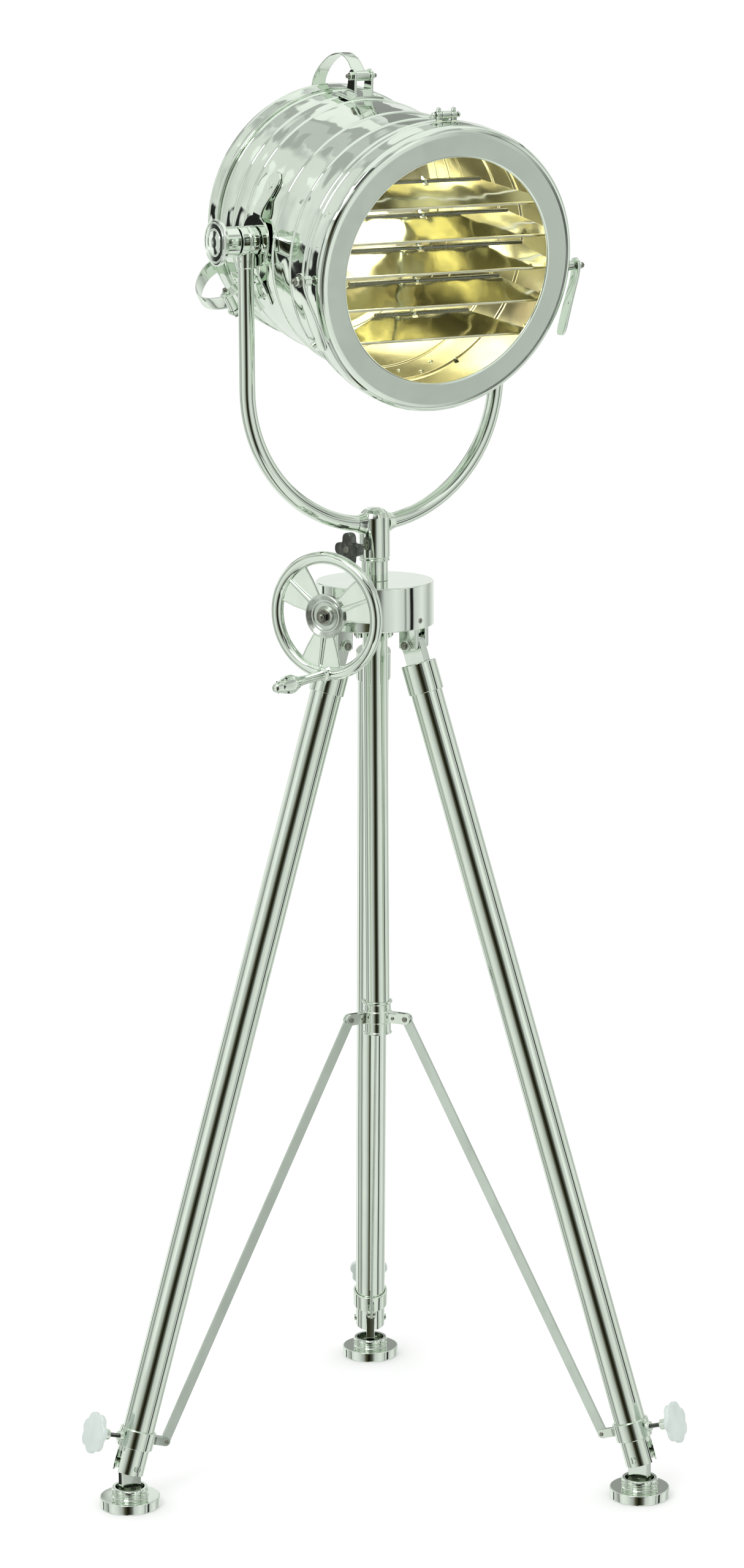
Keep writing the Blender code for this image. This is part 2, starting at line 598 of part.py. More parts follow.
def build_bracket(head, side, name):
    """A wavy plate on the drum's side, with the stud that the fork holds."""
    thick = 0.003
    skin = DRUM_BANDS[2][1] + GAP
    sections = []
    for i in range(-12, 13):
        y = i * 0.0062
        flat = skin + 0.0013
        rest = math.sqrt(skin ** 2 - y ** 2)
        blend = min(max((abs(y) - 0.026) / 0.026, 0), 1)
        blend = blend * blend * (3 - 2 * blend)
        x = flat + (rest - flat) * blend
        lobe = max(0, 1 - (y / 0.026) ** 2) ** 0.5
        foot = max(0, 1 - ((abs(y) / 0.0744 - 0.85) / 0.2) ** 2)
        half = 0.0085 + 0.0205 * lobe + 0.003 * foot
        sections.append([(side * x, y, -half), (side * (x + thick), y, -half),
                         (side * (x + thick), y, half), (side * x, y, half)])
    stud = moved(disc(STUD_RADIUS, skin + 0.0025, TILT_CAP_START - 0.0015, COARSE), along_x(side))
    piece(f"side_bracket_{name}", loft(sections), "polished_metal", head, [stud])


def build_clamp(head, name, angle):
    """In the clamp's frame the drum's axis is Z and X runs out through the clamp."""
    frame = turn(angle, "Z")
    skin = DRUM_BANDS[1][1]
    pin, forward = CLAMP_PIN_RADIUS, CLAMP_PIN_FORWARD
    wide = CLAMP_STRAP_WIDTH / 2 + GAP
    base_low = DRUM_BANDS[2][1] + GAP
    spread = math.degrees(0.0215 / base_low)
    steps = 8
    inner = arc(0, 0, base_low, -spread, spread, steps)
    outer = arc(0, 0, base_low + 0.0032, spread, -spread, steps)
    saddle = prism(inner + outer, forward - 0.0165, forward + 0.0165)
    ears = []
    for s in (-1, 1):
        y = sorted((s * wide, s * (wide + CLAMP_EAR_THICK)))
        outline = [(base_low + 0.0008, -0.008), (pin, -0.0075)]
        outline += [(pin + x, z) for x, z in arc(0, 0, 0.0075, -60, 60, 5)]
        outline += [(pin, 0.0075), (base_low + 0.0008, 0.008)]
        ears.append(moved(prism(outline, -y[1], -y[0]), place(z=forward) @ turn(90, "X")))
        nut = moved(hex_nut(0.0045, wide + CLAMP_EAR_THICK - LAP, wide + CLAMP_EAR_THICK + 0.0036),
                    place(pin, 0, forward) @ turn(-90 * s, "X"))
        ears.append(nut)
    bolt = moved(disc(0.0022, -wide - 0.010, wide + 0.010, COARSE), place(pin, 0, forward) @ ALONG_Y)
    piece(f"clamp_base_{name}", saddle, "satin_metal", head, ears + [bolt], matrix=frame)

    half = CLAMP_STRAP_WIDTH / 2
    path = [(0.0, 0.0)] + [(z - forward, r - pin) for z, r in CLAMP_ARCH]
    sections = []
    for i, (z, r) in enumerate(path):
        before, after = path[max(i - 1, 0)], path[min(i + 1, len(path) - 1)]
        heading = Vector((after[1] - before[1], 0, after[0] - before[0])).normalized()
        normal = Vector((heading.z, 0, -heading.x)) * CLAMP_THICK / 2
        point = Vector((r, 0, z))
        sections.append([point + normal + Vector((0, half, 0)), point + normal - Vector((0, half, 0)),
                         point - normal - Vector((0, half, 0)), point - normal + Vector((0, half, 0))])
    eye = moved(disc(0.0055, -half, half, COARSE), ALONG_Y)
    hook_z, hook_r = path[-1]
    hook = box((hook_r - 0.0035, hook_r + 0.001), (-half, half), (hook_z - CLAMP_THICK / 2, hook_z + 0.010))
    hole = moved(disc(0.0022 + GAP, -0.02, 0.02, COARSE), ALONG_Y)
    piece(f"clamp_strap_{name}", loft(sections), "polished_metal", head, [eye, hook], [hole],
          matrix=frame @ place(pin, 0, forward))
    return skin


def build_head(root):
    head = empty("head_frame", root, place(z=HEAD_HEIGHT) @ turn(HEAD_PAN, "Z") @ turn(90 + HEAD_TILT, "X"))
    knuckle_low = DOOR_PIN_FORWARD - 0.0042
    at_pin = place(0, DOOR_PIN_HEIGHT, DOOR_PIN_FORWARD) @ along_x()
    knuckle = moved(disc(0.0042, -0.0055, 0.0055, COARSE), at_pin)
    leaf = box((-0.0052, 0.0052), (DRUM_FLANGE[1] - 0.0025, DOOR_PIN_HEIGHT),
               (knuckle_low + 0.0005, knuckle_low + 0.003))
    pin = moved(disc(0.0017, -0.0165, 0.0165, COARSE), at_pin)
    piece("drum", lathe(drum_profile(), FINE, closed=True), "polished_alloy", head, [knuckle, leaf, pin])

    back = COVER_RIM_BACK
    wall = DRUM_WALL
    front = DRUM_BANDS[0][0] - GAP
    outer = [(COVER_RIM_RADIUS, front), (COVER_RIM_RADIUS, back + 0.002), (COVER_RIM_RADIUS - 0.002, back)]
    dome = [(0.126, back - 0.0045), (0.100, back - 0.013), (0.066, back - 0.0225), (0.0240, back - 0.0315)]
    inside = [(radius, z + wall) for radius, z in reversed(dome)]
    profile = [(0.0125, back - 0.0315)] + dome[::-1] + outer[::-1]
    profile += [(COVER_RIM_RADIUS - wall - 0.0006, front), (COVER_RIM_RADIUS - wall - 0.0006, back + wall)]
    profile += inside[::-1] + [(0.0125, back - 0.0315 + wall)]
    catches = []
    for angle in CLAMP_ANGLES.values():
        catch = box((0.1180, 0.1235), (-0.008, 0.008), (back - 0.0330, back - 0.004))
        catches.append(moved(catch, turn(angle, "Z")))
    piece("rear_cover", lathe(profile, FINE, closed=True), "polished_alloy", head, catches)

    holder_back = back - 0.0315
    inside_back = holder_back + wall + GAP
    holder = lathe([(0.004, holder_back - 0.010), (0.0150, holder_back - 0.010),
                    (0.0165, holder_back - 0.008), (0.0165, holder_back - GAP), (0.0120, holder_back - GAP),
                    (0.0120, inside_back), (0.0210, inside_back), (0.0210, -0.075), (0.0150, -0.075),
                    (0.0150, -0.100), (0.004, -0.100)], MEDIUM, closed=True)
    piece("lamp_holder", holder, "socket_plastic", head)
    bulb = lathe([(0, -0.0985), (0.0135, -0.0985), (0.0135, -0.066), (0.0165, -0.055), (0.0240, -0.036),
                  (0.0292, -0.018), (0.0300, -0.004), (0.0270, 0.011), (0.0190, 0.021), (0.0090, 0.0255),
                  (0, 0.0265)], MEDIUM)
    piece("bulb", bulb, "bulb_glass", head)

    for side, name in ((-1, "left"), (1, "right")):
        build_bracket(head, side, name)
    for name, angle in CLAMP_ANGLES.items():
        build_clamp(head, name, angle)
    build_door(head)


def build_door(head):
    """The bezel, hinged at the top of the drum, with the louvre in it."""
    pin_y, pin_z = DOOR_PIN_HEIGHT, DOOR_PIN_FORWARD
    door = empty("door_frame", head, place(0, pin_y, pin_z))
    inner = BEZEL_RADIUS - BEZEL_WALL
    profile = [(inner, BEZEL_BACK), (BEZEL_RADIUS, BEZEL_BACK), (BEZEL_RADIUS, BEZEL_FACE - 0.0085),
               (BEZEL_RADIUS - 0.0012, BEZEL_FACE - 0.004), (BEZEL_RADIUS - 0.0048, BEZEL_FACE - 0.0008),
               (BEZEL_RADIUS - 0.0095, BEZEL_FACE), (OPENING_RADIUS, BEZEL_FACE),
               (OPENING_RADIUS, BEZEL_FACE - 0.0025), (inner - 0.001, BEZEL_FACE - 0.0035),
               (inner, BEZEL_FACE - 0.006)]
    at_pin = place(0, -pin_y, -pin_z)
    knuckles, holes = [], []
    for side in (-1, 1):
        x = sorted((side * (0.0055 + GAP), side * 0.0125))
        knuckles.append(moved(disc(0.0042, x[0], x[1], 16), along_x()))
        leaf_x = (x[0] + 0.0002, x[1] - 0.0002)
        knuckles.append(box(leaf_x, (BEZEL_RADIUS - 0.003 - pin_y, 0.0005), (0.0008, 0.0037)))
    holes.append(moved(disc(0.0017 + GAP, -0.02, 0.02, COARSE), along_x()))
    for i in range(SLAT_COUNT):
        y = SLAT_MIDDLE_HEIGHT + (SLAT_COUNT // 2 - i) * SLAT_PITCH
        radius = (AXLE_RADIUS if i == SLAT_COUNT // 2 else 0.0014) + GAP
        holes.append(moved(disc(radius, -0.2, 0.2, COARSE), at_pin @ place(0, y, SLAT_FORWARD) @ along_x()))
    bezel = moved(lathe(profile, FINE, closed=True), at_pin)
    piece("bezel", bezel, "polished_alloy", door, knuckles, holes)

    for i in range(SLAT_COUNT):
        y = SLAT_MIDDLE_HEIGHT + (SLAT_COUNT // 2 - i) * SLAT_PITCH
        middle = i == SLAT_COUNT // 2
        wall = math.sqrt(inner ** 2 - (abs(y) + 0.002) ** 2)
        build_slat(door, f"slat_{i + 1}", y, wall - 0.0012, SLAT_BACK_HALVES[i], middle)
    build_link(door)


def build_slat(door, name, y, front_half, back_half, has_axle):
    """In the slat's frame the pivot is X, and the blade runs to its rear rod along -Z."""
    frame = place(0, y - DOOR_PIN_HEIGHT, SLAT_FORWARD - DOOR_PIN_FORWARD) @ turn(SLAT_ANGLE, "X")
    notch_low, notch_high = LINK_X - 0.0035, LINK_X + 0.0035
    depth = SLAT_WIDTH - 0.0065
    outline = [(-front_half, 0), (-back_half, -SLAT_WIDTH), (notch_low, -SLAT_WIDTH), (notch_low, -depth),
               (notch_high, -depth), (notch_high, -SLAT_WIDTH), (back_half, -SLAT_WIDTH), (front_half, 0)]
    blade = moved(prism([(x, z) for x, z in outline], -SLAT_THICK / 2, SLAT_THICK / 2), turn(90, "X"))
    pivot = AXLE_RADIUS if has_axle else 0.0014
    reach = LEVER_X + 0.0115 if has_axle else front_half + 0.0042
    front = moved(disc(SLAT_BEAD, -front_half, front_half, 10), along_x())
    rear = moved(disc(SLAT_BEAD, -back_half, back_half, 10), place(z=-SLAT_WIDTH) @ along_x())
    pins = []
    for side in (-1, 1):
        low, high = sorted((side * (front_half - 0.003), side * reach))
        pins.append(moved(disc(pivot, low, high, COARSE), along_x()))
    piece(name, blade, "polished_alloy", door, [front, rear] + pins, matrix=frame)
    if not has_axle:
        return
    for side, lever in ((-1, "left"), (1, "right")):
        sections = []
        for s, x_in in ((-0.0085, 0), (-0.004, 0), (0.006, 0.0003), (0.014, 0.0025), (0.040, 0.0122),
                        (0.066, 0.0214), (0.0745, 0.0245)):
            half = LEVER_WIDTH / 2 * (0.62 if s in (-0.0085, 0.0745) else 1)
            x = side * (LEVER_X - x_in * LEVER_IN / 0.0234)
            s = s * LEVER_LENGTH / 0.072
            edge = side * LEVER_THICK / 2
            sections.append([(x - edge, -s, -half), (x + edge, -s, -half), (x + edge, -s, half),
                             (x - edge, -s, half)])
        hole = moved(disc(AXLE_RADIUS + GAP, -0.2, 0.2, COARSE), along_x())
        swing = turn(-SLAT_ANGLE - LEVER_ANGLE, "X")
        piece(f"louvre_lever_{lever}", loft(sections), "polished_metal", door, cut=[hole],
              matrix=frame @ swing)


def build_link(door):
    """A flat bar behind the slats, with an eye on the rear rod of each."""
    angle = math.radians(SLAT_ANGLE)
    rod_y = SLAT_MIDDLE_HEIGHT + SLAT_WIDTH * math.sin(angle)
    rod_z = SLAT_FORWARD - SLAT_WIDTH * math.cos(angle)
    bore = SLAT_BEAD + GAP
    eye, front = bore + 0.0017, -bore - 0.0003
    start = math.degrees(math.asin(front / eye))
    half = SLAT_PITCH * (SLAT_COUNT - 1) / 2 + eye + 0.0010
    outline = [(half, front), (half, -LINK_BACK), (-half, -LINK_BACK), (-half, front)]
    holes = []
    for i in range(SLAT_COUNT):
        y = (i - SLAT_COUNT // 2) * SLAT_PITCH
        outline += arc(y, 0, eye, 180 - start, start, 12)
        holes.append(moved(disc(bore, LINK_X - 0.01, LINK_X + 0.01, COARSE), place(y=y) @ along_x()))
    bar = moved(prism(outline, LINK_X - LINK_THICK / 2, LINK_X + LINK_THICK / 2),
                turn(90, "X") @ turn(90, "Y"))
    piece("louvre_link", bar, "polished_metal", door, cut=holes,
          matrix=place(0, rod_y - DOOR_PIN_HEIGHT, rod_z - DOOR_PIN_FORWARD))


def build_gland(root):
    head = bpy.data.objects["head_frame"]
    skin = DRUM_BANDS[1][1]
    gland = lathe([(0.0035, skin + GAP), (0.0085, skin + GAP), (0.0085, skin + 0.005), (0.0065, skin + 0.006),
                   (0.0060, skin + 0.013), (0.0035, skin + 0.013)], COARSE, closed=True)
    piece("cord_gland", gland, "dark_metal", head, matrix=place(z=-0.078) @ turn(90, "X"))


def centre_on_floor(root):
    """Moves the lamp so that the middle of its box, on the floor, is the origin."""
    bpy.context.view_layer.update()
    low, high = Vector((9, 9, 9)), Vector((-9, -9, -9))
    for obj in bpy.data.objects:
        if obj.type == "MESH":
            for vert in obj.data.vertices:
                p = obj.matrix_world @ vert.co
                low = Vector(map(min, low, p))
                high = Vector(map(max, high, p))
    root.location = (-(low.x + high.x) / 2, -(low.y + high.y) / 2, -low.z)


def main():
    clear_scene()
    make_materials()
    root = empty("lamp_frame", None, Matrix.Identity(4))
    build_hub(root)
    build_post(root)
    leg_angle, leg_length = build_collar(root)
    for name, azimuth in LEG_AZIMUTHS.items():
        build_leg(root, name, azimuth, leg_angle, leg_length)
        build_foot(root, name, azimuth)
    build_handwheel(root)
    build_fork(root)
    build_head(root)
    build_gland(root)
    centre_on_floor(root)


main()
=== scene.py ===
# Tripod floor lamp: a polished nickel drum head with a louvred door, on a folding tripod.
import math

import bmesh
import bpy
from mathutils import Matrix, Vector


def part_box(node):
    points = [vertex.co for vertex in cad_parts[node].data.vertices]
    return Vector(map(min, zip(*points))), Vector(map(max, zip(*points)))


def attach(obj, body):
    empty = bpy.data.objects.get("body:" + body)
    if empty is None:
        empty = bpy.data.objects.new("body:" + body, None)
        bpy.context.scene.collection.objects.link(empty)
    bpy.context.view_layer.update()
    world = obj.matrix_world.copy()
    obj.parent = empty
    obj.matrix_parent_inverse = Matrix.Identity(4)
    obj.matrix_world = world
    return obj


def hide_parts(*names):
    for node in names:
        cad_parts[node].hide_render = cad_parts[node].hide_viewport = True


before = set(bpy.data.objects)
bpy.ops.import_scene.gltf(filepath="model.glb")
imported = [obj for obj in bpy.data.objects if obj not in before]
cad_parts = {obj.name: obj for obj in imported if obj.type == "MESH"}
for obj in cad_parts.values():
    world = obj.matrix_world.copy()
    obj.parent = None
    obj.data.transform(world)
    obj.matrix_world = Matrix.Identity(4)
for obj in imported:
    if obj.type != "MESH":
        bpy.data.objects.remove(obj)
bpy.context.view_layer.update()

# The whole lamp stands behind the middle of its box, so the mast's axis comes from the post.
postLow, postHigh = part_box("post")
mastAxis = ((postLow.x + postHigh.x) / 2, (postLow.y + postHigh.y) / 2)


# places

def at(x=0.0, y=0.0, z=0.0):
    return Matrix.Translation((x, y, z))


def turn(angle, axis):
    return Matrix.Rotation(math.radians(angle), 4, axis)


alongX = turn(90, "Y")  # what was lathed around Z now points along X
alongY = turn(-90, "X")  # and here along Y

legs = {"right": -30, "left": 210, "back": 90}
legFrame = {"hingeOut": 0.048, "hingeHeight": 0.957, "ankleOut": 0.332, "ankleHeight": 0.0475}
legLean = math.degrees(math.atan2(legFrame["ankleOut"] - legFrame["hingeOut"],
                                  legFrame["hingeHeight"] - legFrame["ankleHeight"]))
legLength = math.hypot(legFrame["ankleOut"] - legFrame["hingeOut"],
                       legFrame["hingeHeight"] - legFrame["ankleHeight"])
headFrame = {"height": 1.4096, "pan": 27.6, "tilt": 9.85}
clampAngles = {"top": 90, "left": 210, "right": 330}

onMast = at(mastAxis[0], mastAxis[1])
onFork = onMast @ turn(headFrame["pan"], "Z")
onHead = onFork @ at(z=headFrame["height"]) @ turn(90 + headFrame["tilt"], "X")
wheelSide = at(z=0.999) @ turn(236, "Z") @ alongX
onWheel = onMast @ wheelSide


def onLeg(name):
    return (onMast @ turn(legs[name], "Z") @ at(legFrame["hingeOut"], 0, legFrame["hingeHeight"])
            @ turn(-legLean, "Y"))


def onFoot(name):
    return onMast @ turn(legs[name], "Z") @ at(legFrame["ankleOut"], 0, legFrame["ankleHeight"])


# shapes, each a bmesh

def eased(points, radius, steps=3, loop=False):
    # corner points give way to short curves
    count = len(points)
    soft = []
    for i, point in enumerate(points):
        if not loop and i in (0, count - 1):
            soft.append(tuple(point))
            continue
        here = Vector(point)
        back, ahead = Vector(points[i - 1]) - here, Vector(points[(i + 1) % count]) - here
        cut = min(radius, back.length * 0.45, ahead.length * 0.45)
        start, end = here + back.normalized() * cut, here + ahead.normalized() * cut
        for k in range(steps + 1):
            t = k / steps
            soft.append(tuple(start * (1 - t) ** 2 + here * 2 * t * (1 - t) + end * t * t))
    return soft


def arc(cx, cy, radius, start, end, steps):
    turns = [math.radians(start + (end - start) * i / steps) for i in range(steps + 1)]
    return [(cx + radius * math.cos(a), cy + radius * math.sin(a)) for a in turns]


def lathed(profile, steps, loop=False, ease=0.0):
    # (radius, height) points, turned around Z
    if ease:
        profile = eased(profile, ease, 3, loop)
    shape = bmesh.new()
    dots = [shape.verts.new((radius, 0, height)) for radius, height in profile]
    pairs = list(zip(dots, dots[1:])) + ([(dots[-1], dots[0])] if loop else [])
    lines = [shape.edges.new(pair) for pair in pairs]
    bmesh.ops.spin(shape, geom=dots + lines, cent=(0, 0, 0), axis=(0, 0, 1), angle=math.tau,
                   steps=steps, use_merge=True)
    bmesh.ops.remove_doubles(shape, verts=shape.verts[:], dist=2e-6)
    bmesh.ops.recalc_face_normals(shape, faces=shape.faces[:])
    return shape


def hoop(inner, outer, low, high, steps, ease=0.0):
    return lathed([(inner, low), (outer, low), (outer, high), (inner, high)], steps, True, ease)


def shifted(points, x, y):
    # an outline whose points are counted from another place
    return [(x + along, y + up) for along, up in points]


def plate(outline, low, high, ease=0.0, edge=0.0):
    # an outline in X and Y, drawn out from low to high
    if ease:
        outline = eased(outline, ease, 4, True)
    shape = bmesh.new()
    face = shape.faces.new([shape.verts.new((x, y, low)) for x, y in outline])
    made = bmesh.ops.extrude_face_region(shape, geom=[face])["geom"]
    bmesh.ops.translate(shape, vec=(0, 0, high - low),
                        verts=[part for part in made if isinstance(part, bmesh.types.BMVert)])
    bmesh.ops.recalc_face_normals(shape, faces=shape.faces[:])
    return softened(shape, edge) if edge else shape


def rounded(shape, edges, width, segments=2):
    bmesh.ops.bevel(shape, geom=edges, offset=width, offset_type="OFFSET", segments=segments,
                    profile=0.5, affect="EDGES", clamp_overlap=True, material=-1)
    return shape


def softened(shape, width, segments=2, sharp=40):
    limit = math.radians(sharp)
    edges = [e for e in shape.edges if len(e.link_faces) == 2 and e.calc_face_angle() > limit]
    return rounded(shape, edges, width, segments)


def block(x, y, z, edge=0.0):
    # each of x, y and z is a (low, high) pair
    shape = bmesh.new()
    bmesh.ops.create_cube(shape, size=1)
    size = [high - low for low, high in (x, y, z)]
    middle = [(high + low) / 2 for low, high in (x, y, z)]
    bmesh.ops.transform(shape, matrix=at(*middle) @ Matrix.Diagonal((*size, 1)), verts=shape.verts[:])
    return softened(shape, edge) if edge else shape


def rod(radius, low, high, steps=32, ease=None):
    soft = radius * 0.18 if ease is None else ease
    return lathed([(0, low), (radius, low), (radius, high), (0, high)], steps, ease=soft)


def swept(section, stations):
    # an outline in X and Y carried through a list of matrices, capped at both ends
    shape = bmesh.new()
    dots = [shape.verts.new(stations[0] @ Vector((x, y, 0))) for x, y in section]
    first = shape.faces.new(dots)
    edges = list(first.edges)
    for before, after in zip(stations, stations[1:]):
        made = bmesh.ops.extrude_edge_only(shape, edges=edges)["geom"]
        edges = [part for part in made if isinstance(part, bmesh.types.BMEdge)]
        bmesh.ops.transform(shape, matrix=after @ before.inverted(),
                            verts=[part for part in made if isinstance(part, bmesh.types.BMVert)])
    bmesh.ops.edgeloop_fill(shape, edges=edges)
    bmesh.ops.recalc_face_normals(shape, faces=shape.faces[:])
    return shape


def stationsAlong(path, side=Vector((0, 1, 0)), sizes=None):
    # matrices whose Z follows the path and whose X is the given side
    stations = []
    for i, point in enumerate(path):
        before, after = Vector(path[max(i - 1, 0)]), Vector(path[min(i + 1, len(path) - 1)])
        heading = (after - before).normalized()
        up = heading.cross(side).normalized()
        frameHere = Matrix((side, up, heading)).transposed().to_4x4()
        frameHere.translation = Vector(point)
        size = sizes[i] if sizes else (1, 1)
        stations.append(frameHere @ Matrix.Diagonal((size[0], size[1], 1, 1)))
    return stations


def placed(shape, matrix):
    bmesh.ops.transform(shape, matrix=matrix, verts=shape.verts[:])
    return shape


def hexNut(radius, low, high):
    # a nut with its corners turned down
    nut = plate(arc(0, 0, radius, 0, 300, 5), low, high)
    corners = [e for e in nut.edges if abs(e.verts[0].co.z - e.verts[1].co.z) < 1e-7]
    return rounded(nut, corners, radius * 0.11)


def acorn(radius, low, high):
    # a domed nut
    dome = [(0, low)] + [(radius, low), (radius, low + (high - low) * 0.35)]
    dome += [(radius * math.cos(a), low + (high - low) * (0.35 + 0.65 * math.sin(a)))
             for a in (0.3, 0.6, 0.9, 1.2, 1.45)] + [(0, high)]
    return lathed(dome, 24)


def threaded(radius, low, high, pitch=0.0009):
    # rings as fine as a screw's thread
    count = max(2, round((high - low) / pitch))
    rings = [(0, low)]
    for i in range(count):
        rings += [(radius * 0.86, low + (high - low) * i / count),
                  (radius, low + (high - low) * (i + 0.5) / count)]
    return lathed(rings + [(radius * 0.86, high), (0, high)], 24)


def slotted(radius, low, high, slot):
    # a screw head, in two halves beside its slot
    halves = []
    for side in (0, 180):
        outline = [(radius * slot, y) for y in (radius * 0.98, -radius * 0.98)]
        outline += arc(0, 0, radius, -78, 78, 14)
        half = plate(outline, low + (high - low) * 0.45, high, edge=radius * 0.07)
        halves.append(placed(half, turn(side, "Z")))
    return halves + [rod(radius, low, low + (high - low) * 0.5, 24, radius * 0.05)]


def lobed(radius, depth, lobes, low, high, edge, dish=0.0):
    outline = []
    for i in range(lobes * 10):
        a = math.tau * i / (lobes * 10)
        r = radius - depth * (0.5 - 0.5 * math.cos(lobes * a)) ** 2
        outline.append((r * math.cos(a), r * math.sin(a)))
    shape = plate(outline, low, high)
    rounded(shape, [e for f in shape.faces if len(f.verts) > 8 for e in f.edges], edge, 3)
    if dish:
        top = max((f for f in shape.faces if len(f.verts) > 8), key=lambda f: f.calc_center_median().z)
        bmesh.ops.inset_region(shape, faces=[top], thickness=radius * 0.2, depth=-dish)
    return shape


def meshOf(name, shape):
    mesh = bpy.data.meshes.new(name)
    shape.to_mesh(mesh)
    shape.free()
    return mesh


def added(name, data):
    thing = bpy.data.objects.new(name, data)
    bpy.context.collection.objects.link(thing)
    return thing


def carved(shape, tool):
    # cuts the tool out of the shape
    blank = added("blank", meshOf("blank", shape))
    cutter = added("cutter", meshOf("cutter", tool))
    cut = blank.modifiers.new("cut", "BOOLEAN")
    cut.operation, cut.solver, cut.object = "DIFFERENCE", "EXACT", cutter
    done = bpy.data.meshes.new_from_object(blank.evaluated_get(bpy.context.evaluated_depsgraph_get()))
    result = bmesh.new()
    result.from_mesh(done)
    bpy.data.meshes.remove(done)
    for extra in (cutter, blank):
        bpy.data.objects.remove(extra, do_unlink=True)
    return result


def finished(name, parts, body, nodes, spot, smoothBelow=40):
    # joins (shape, finish) pairs into one piece, in place, on its body
    whole = bmesh.new()
    order = []
    for shape, finish in parts:
        names = [finish] if isinstance(finish, str) else list(finish)
        order += [one for one in names if one not in order]
        for face in shape.faces:
            face.material_index = order.index(names[min(face.material_index, len(names) - 1)])
            face.smooth = True
        bmesh.ops.transform(shape, matrix=spot, verts=shape.verts[:])
        loose = meshOf("loose", shape)
        whole.from_mesh(loose)
        bpy.data.meshes.remove(loose)
    mesh = meshOf(name, whole)
    for one in order:
        mesh.materials.append(finishes[one])
    mesh.set_sharp_from_angle(angle=math.radians(smoothBelow))
    piece = added(name, mesh)
    flats = piece.modifiers.new("flats", "WEIGHTED_NORMAL")
    flats.keep_sharp = True
    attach(piece, body)
    if nodes:
        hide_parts(*([nodes] if isinstance(nodes, str) else nodes))
    return piece


# finishes

class Reading:
    # a socket in a material's tree, which can be summed and scaled
    def __init__(self, tree, socket):
        self.tree, self.socket = tree, socket

    def add(self, kind, settings=None, sockets=None, out=0):
        node = self.tree.nodes.new(kind)
        for key, value in (settings or {}).items():
            if key == "stops":
                ramp = node.color_ramp
                while len(ramp.elements) < len(value):
                    ramp.elements.new(0.5)
                for stop, (place, colour) in zip(ramp.elements, value):
                    stop.position, stop.color = place, (*colour, 1) if len(colour) == 3 else colour
            else:
                setattr(node, key, value)
        for key, value in (sockets or {}).items():
            if isinstance(value, Reading):
                self.tree.links.new(value.socket, node.inputs[key])
            else:
                node.inputs[key].default_value = value
        return Reading(self.tree, node.outputs[out]) if node.outputs else node

    def sum(self, operation, first, second):
        return self.add("ShaderNodeMath", {"operation": operation}, {0: first, 1: second})

    def __add__(self, other):
        return self.sum("ADD", self, other)

    def __sub__(self, other):
        return self.sum("SUBTRACT", self, other)

    def __rsub__(self, other):
        return self.sum("SUBTRACT", other, self)

    def __mul__(self, other):
        return self.sum("MULTIPLY", self, other)

    __radd__, __rmul__ = __add__, __mul__

    def steps(self, low, high):
        # 0 under low, 1 over high, smooth between
        return self.add("ShaderNodeMapRange", {"interpolation_type": "SMOOTHSTEP", "clamp": True},
                        {"Value": self, "From Min": low, "From Max": high})

    def between(self, first, second):
        # mixes two colours by this value
        return self.add("ShaderNodeMix", {"data_type": "RGBA"}, {0: self, 6: first, 7: second}, 2)

    def noise(self, scale, detail=2.0, rough=0.5, warp=0.0):
        return self.add("ShaderNodeTexNoise", {}, {"Vector": self, "Scale": scale, "Detail": detail,
                                                   "Roughness": rough, "Distortion": warp})

    def scaled(self, scale, place=(0, 0, 0), tilt=(0, 0, 0)):
        return self.add("ShaderNodeMapping", {}, {"Vector": self, "Location": place,
                                                  "Rotation": tilt, "Scale": scale})


def newFinish(name):
    material = bpy.data.materials.new(name)
    material.use_nodes = True
    tree = material.node_tree
    tree.nodes.clear()
    coords = Reading(tree, None).add("ShaderNodeTexCoord", out="Object")
    return material, coords


def closeFinish(material, coords, sockets, height=None, depth=0.0):
    if height is not None:
        sockets["Normal"] = coords.add("ShaderNodeBump", {}, {"Strength": 1.0, "Distance": depth,
                                                              "Height": height})
    surface = coords.add("ShaderNodeBsdfPrincipled", {}, sockets)
    coords.add("ShaderNodeOutputMaterial", {}, {"Surface": surface})
    return material


def rgb(*colour):
    return (*colour, 1.0)


def headCoords(coords):
    # the head's own frame: Z runs along the drum's axis
    back = onHead.inverted()
    return coords.scaled((1, 1, 1), tuple(back.translation), tuple(back.to_euler("XYZ")))


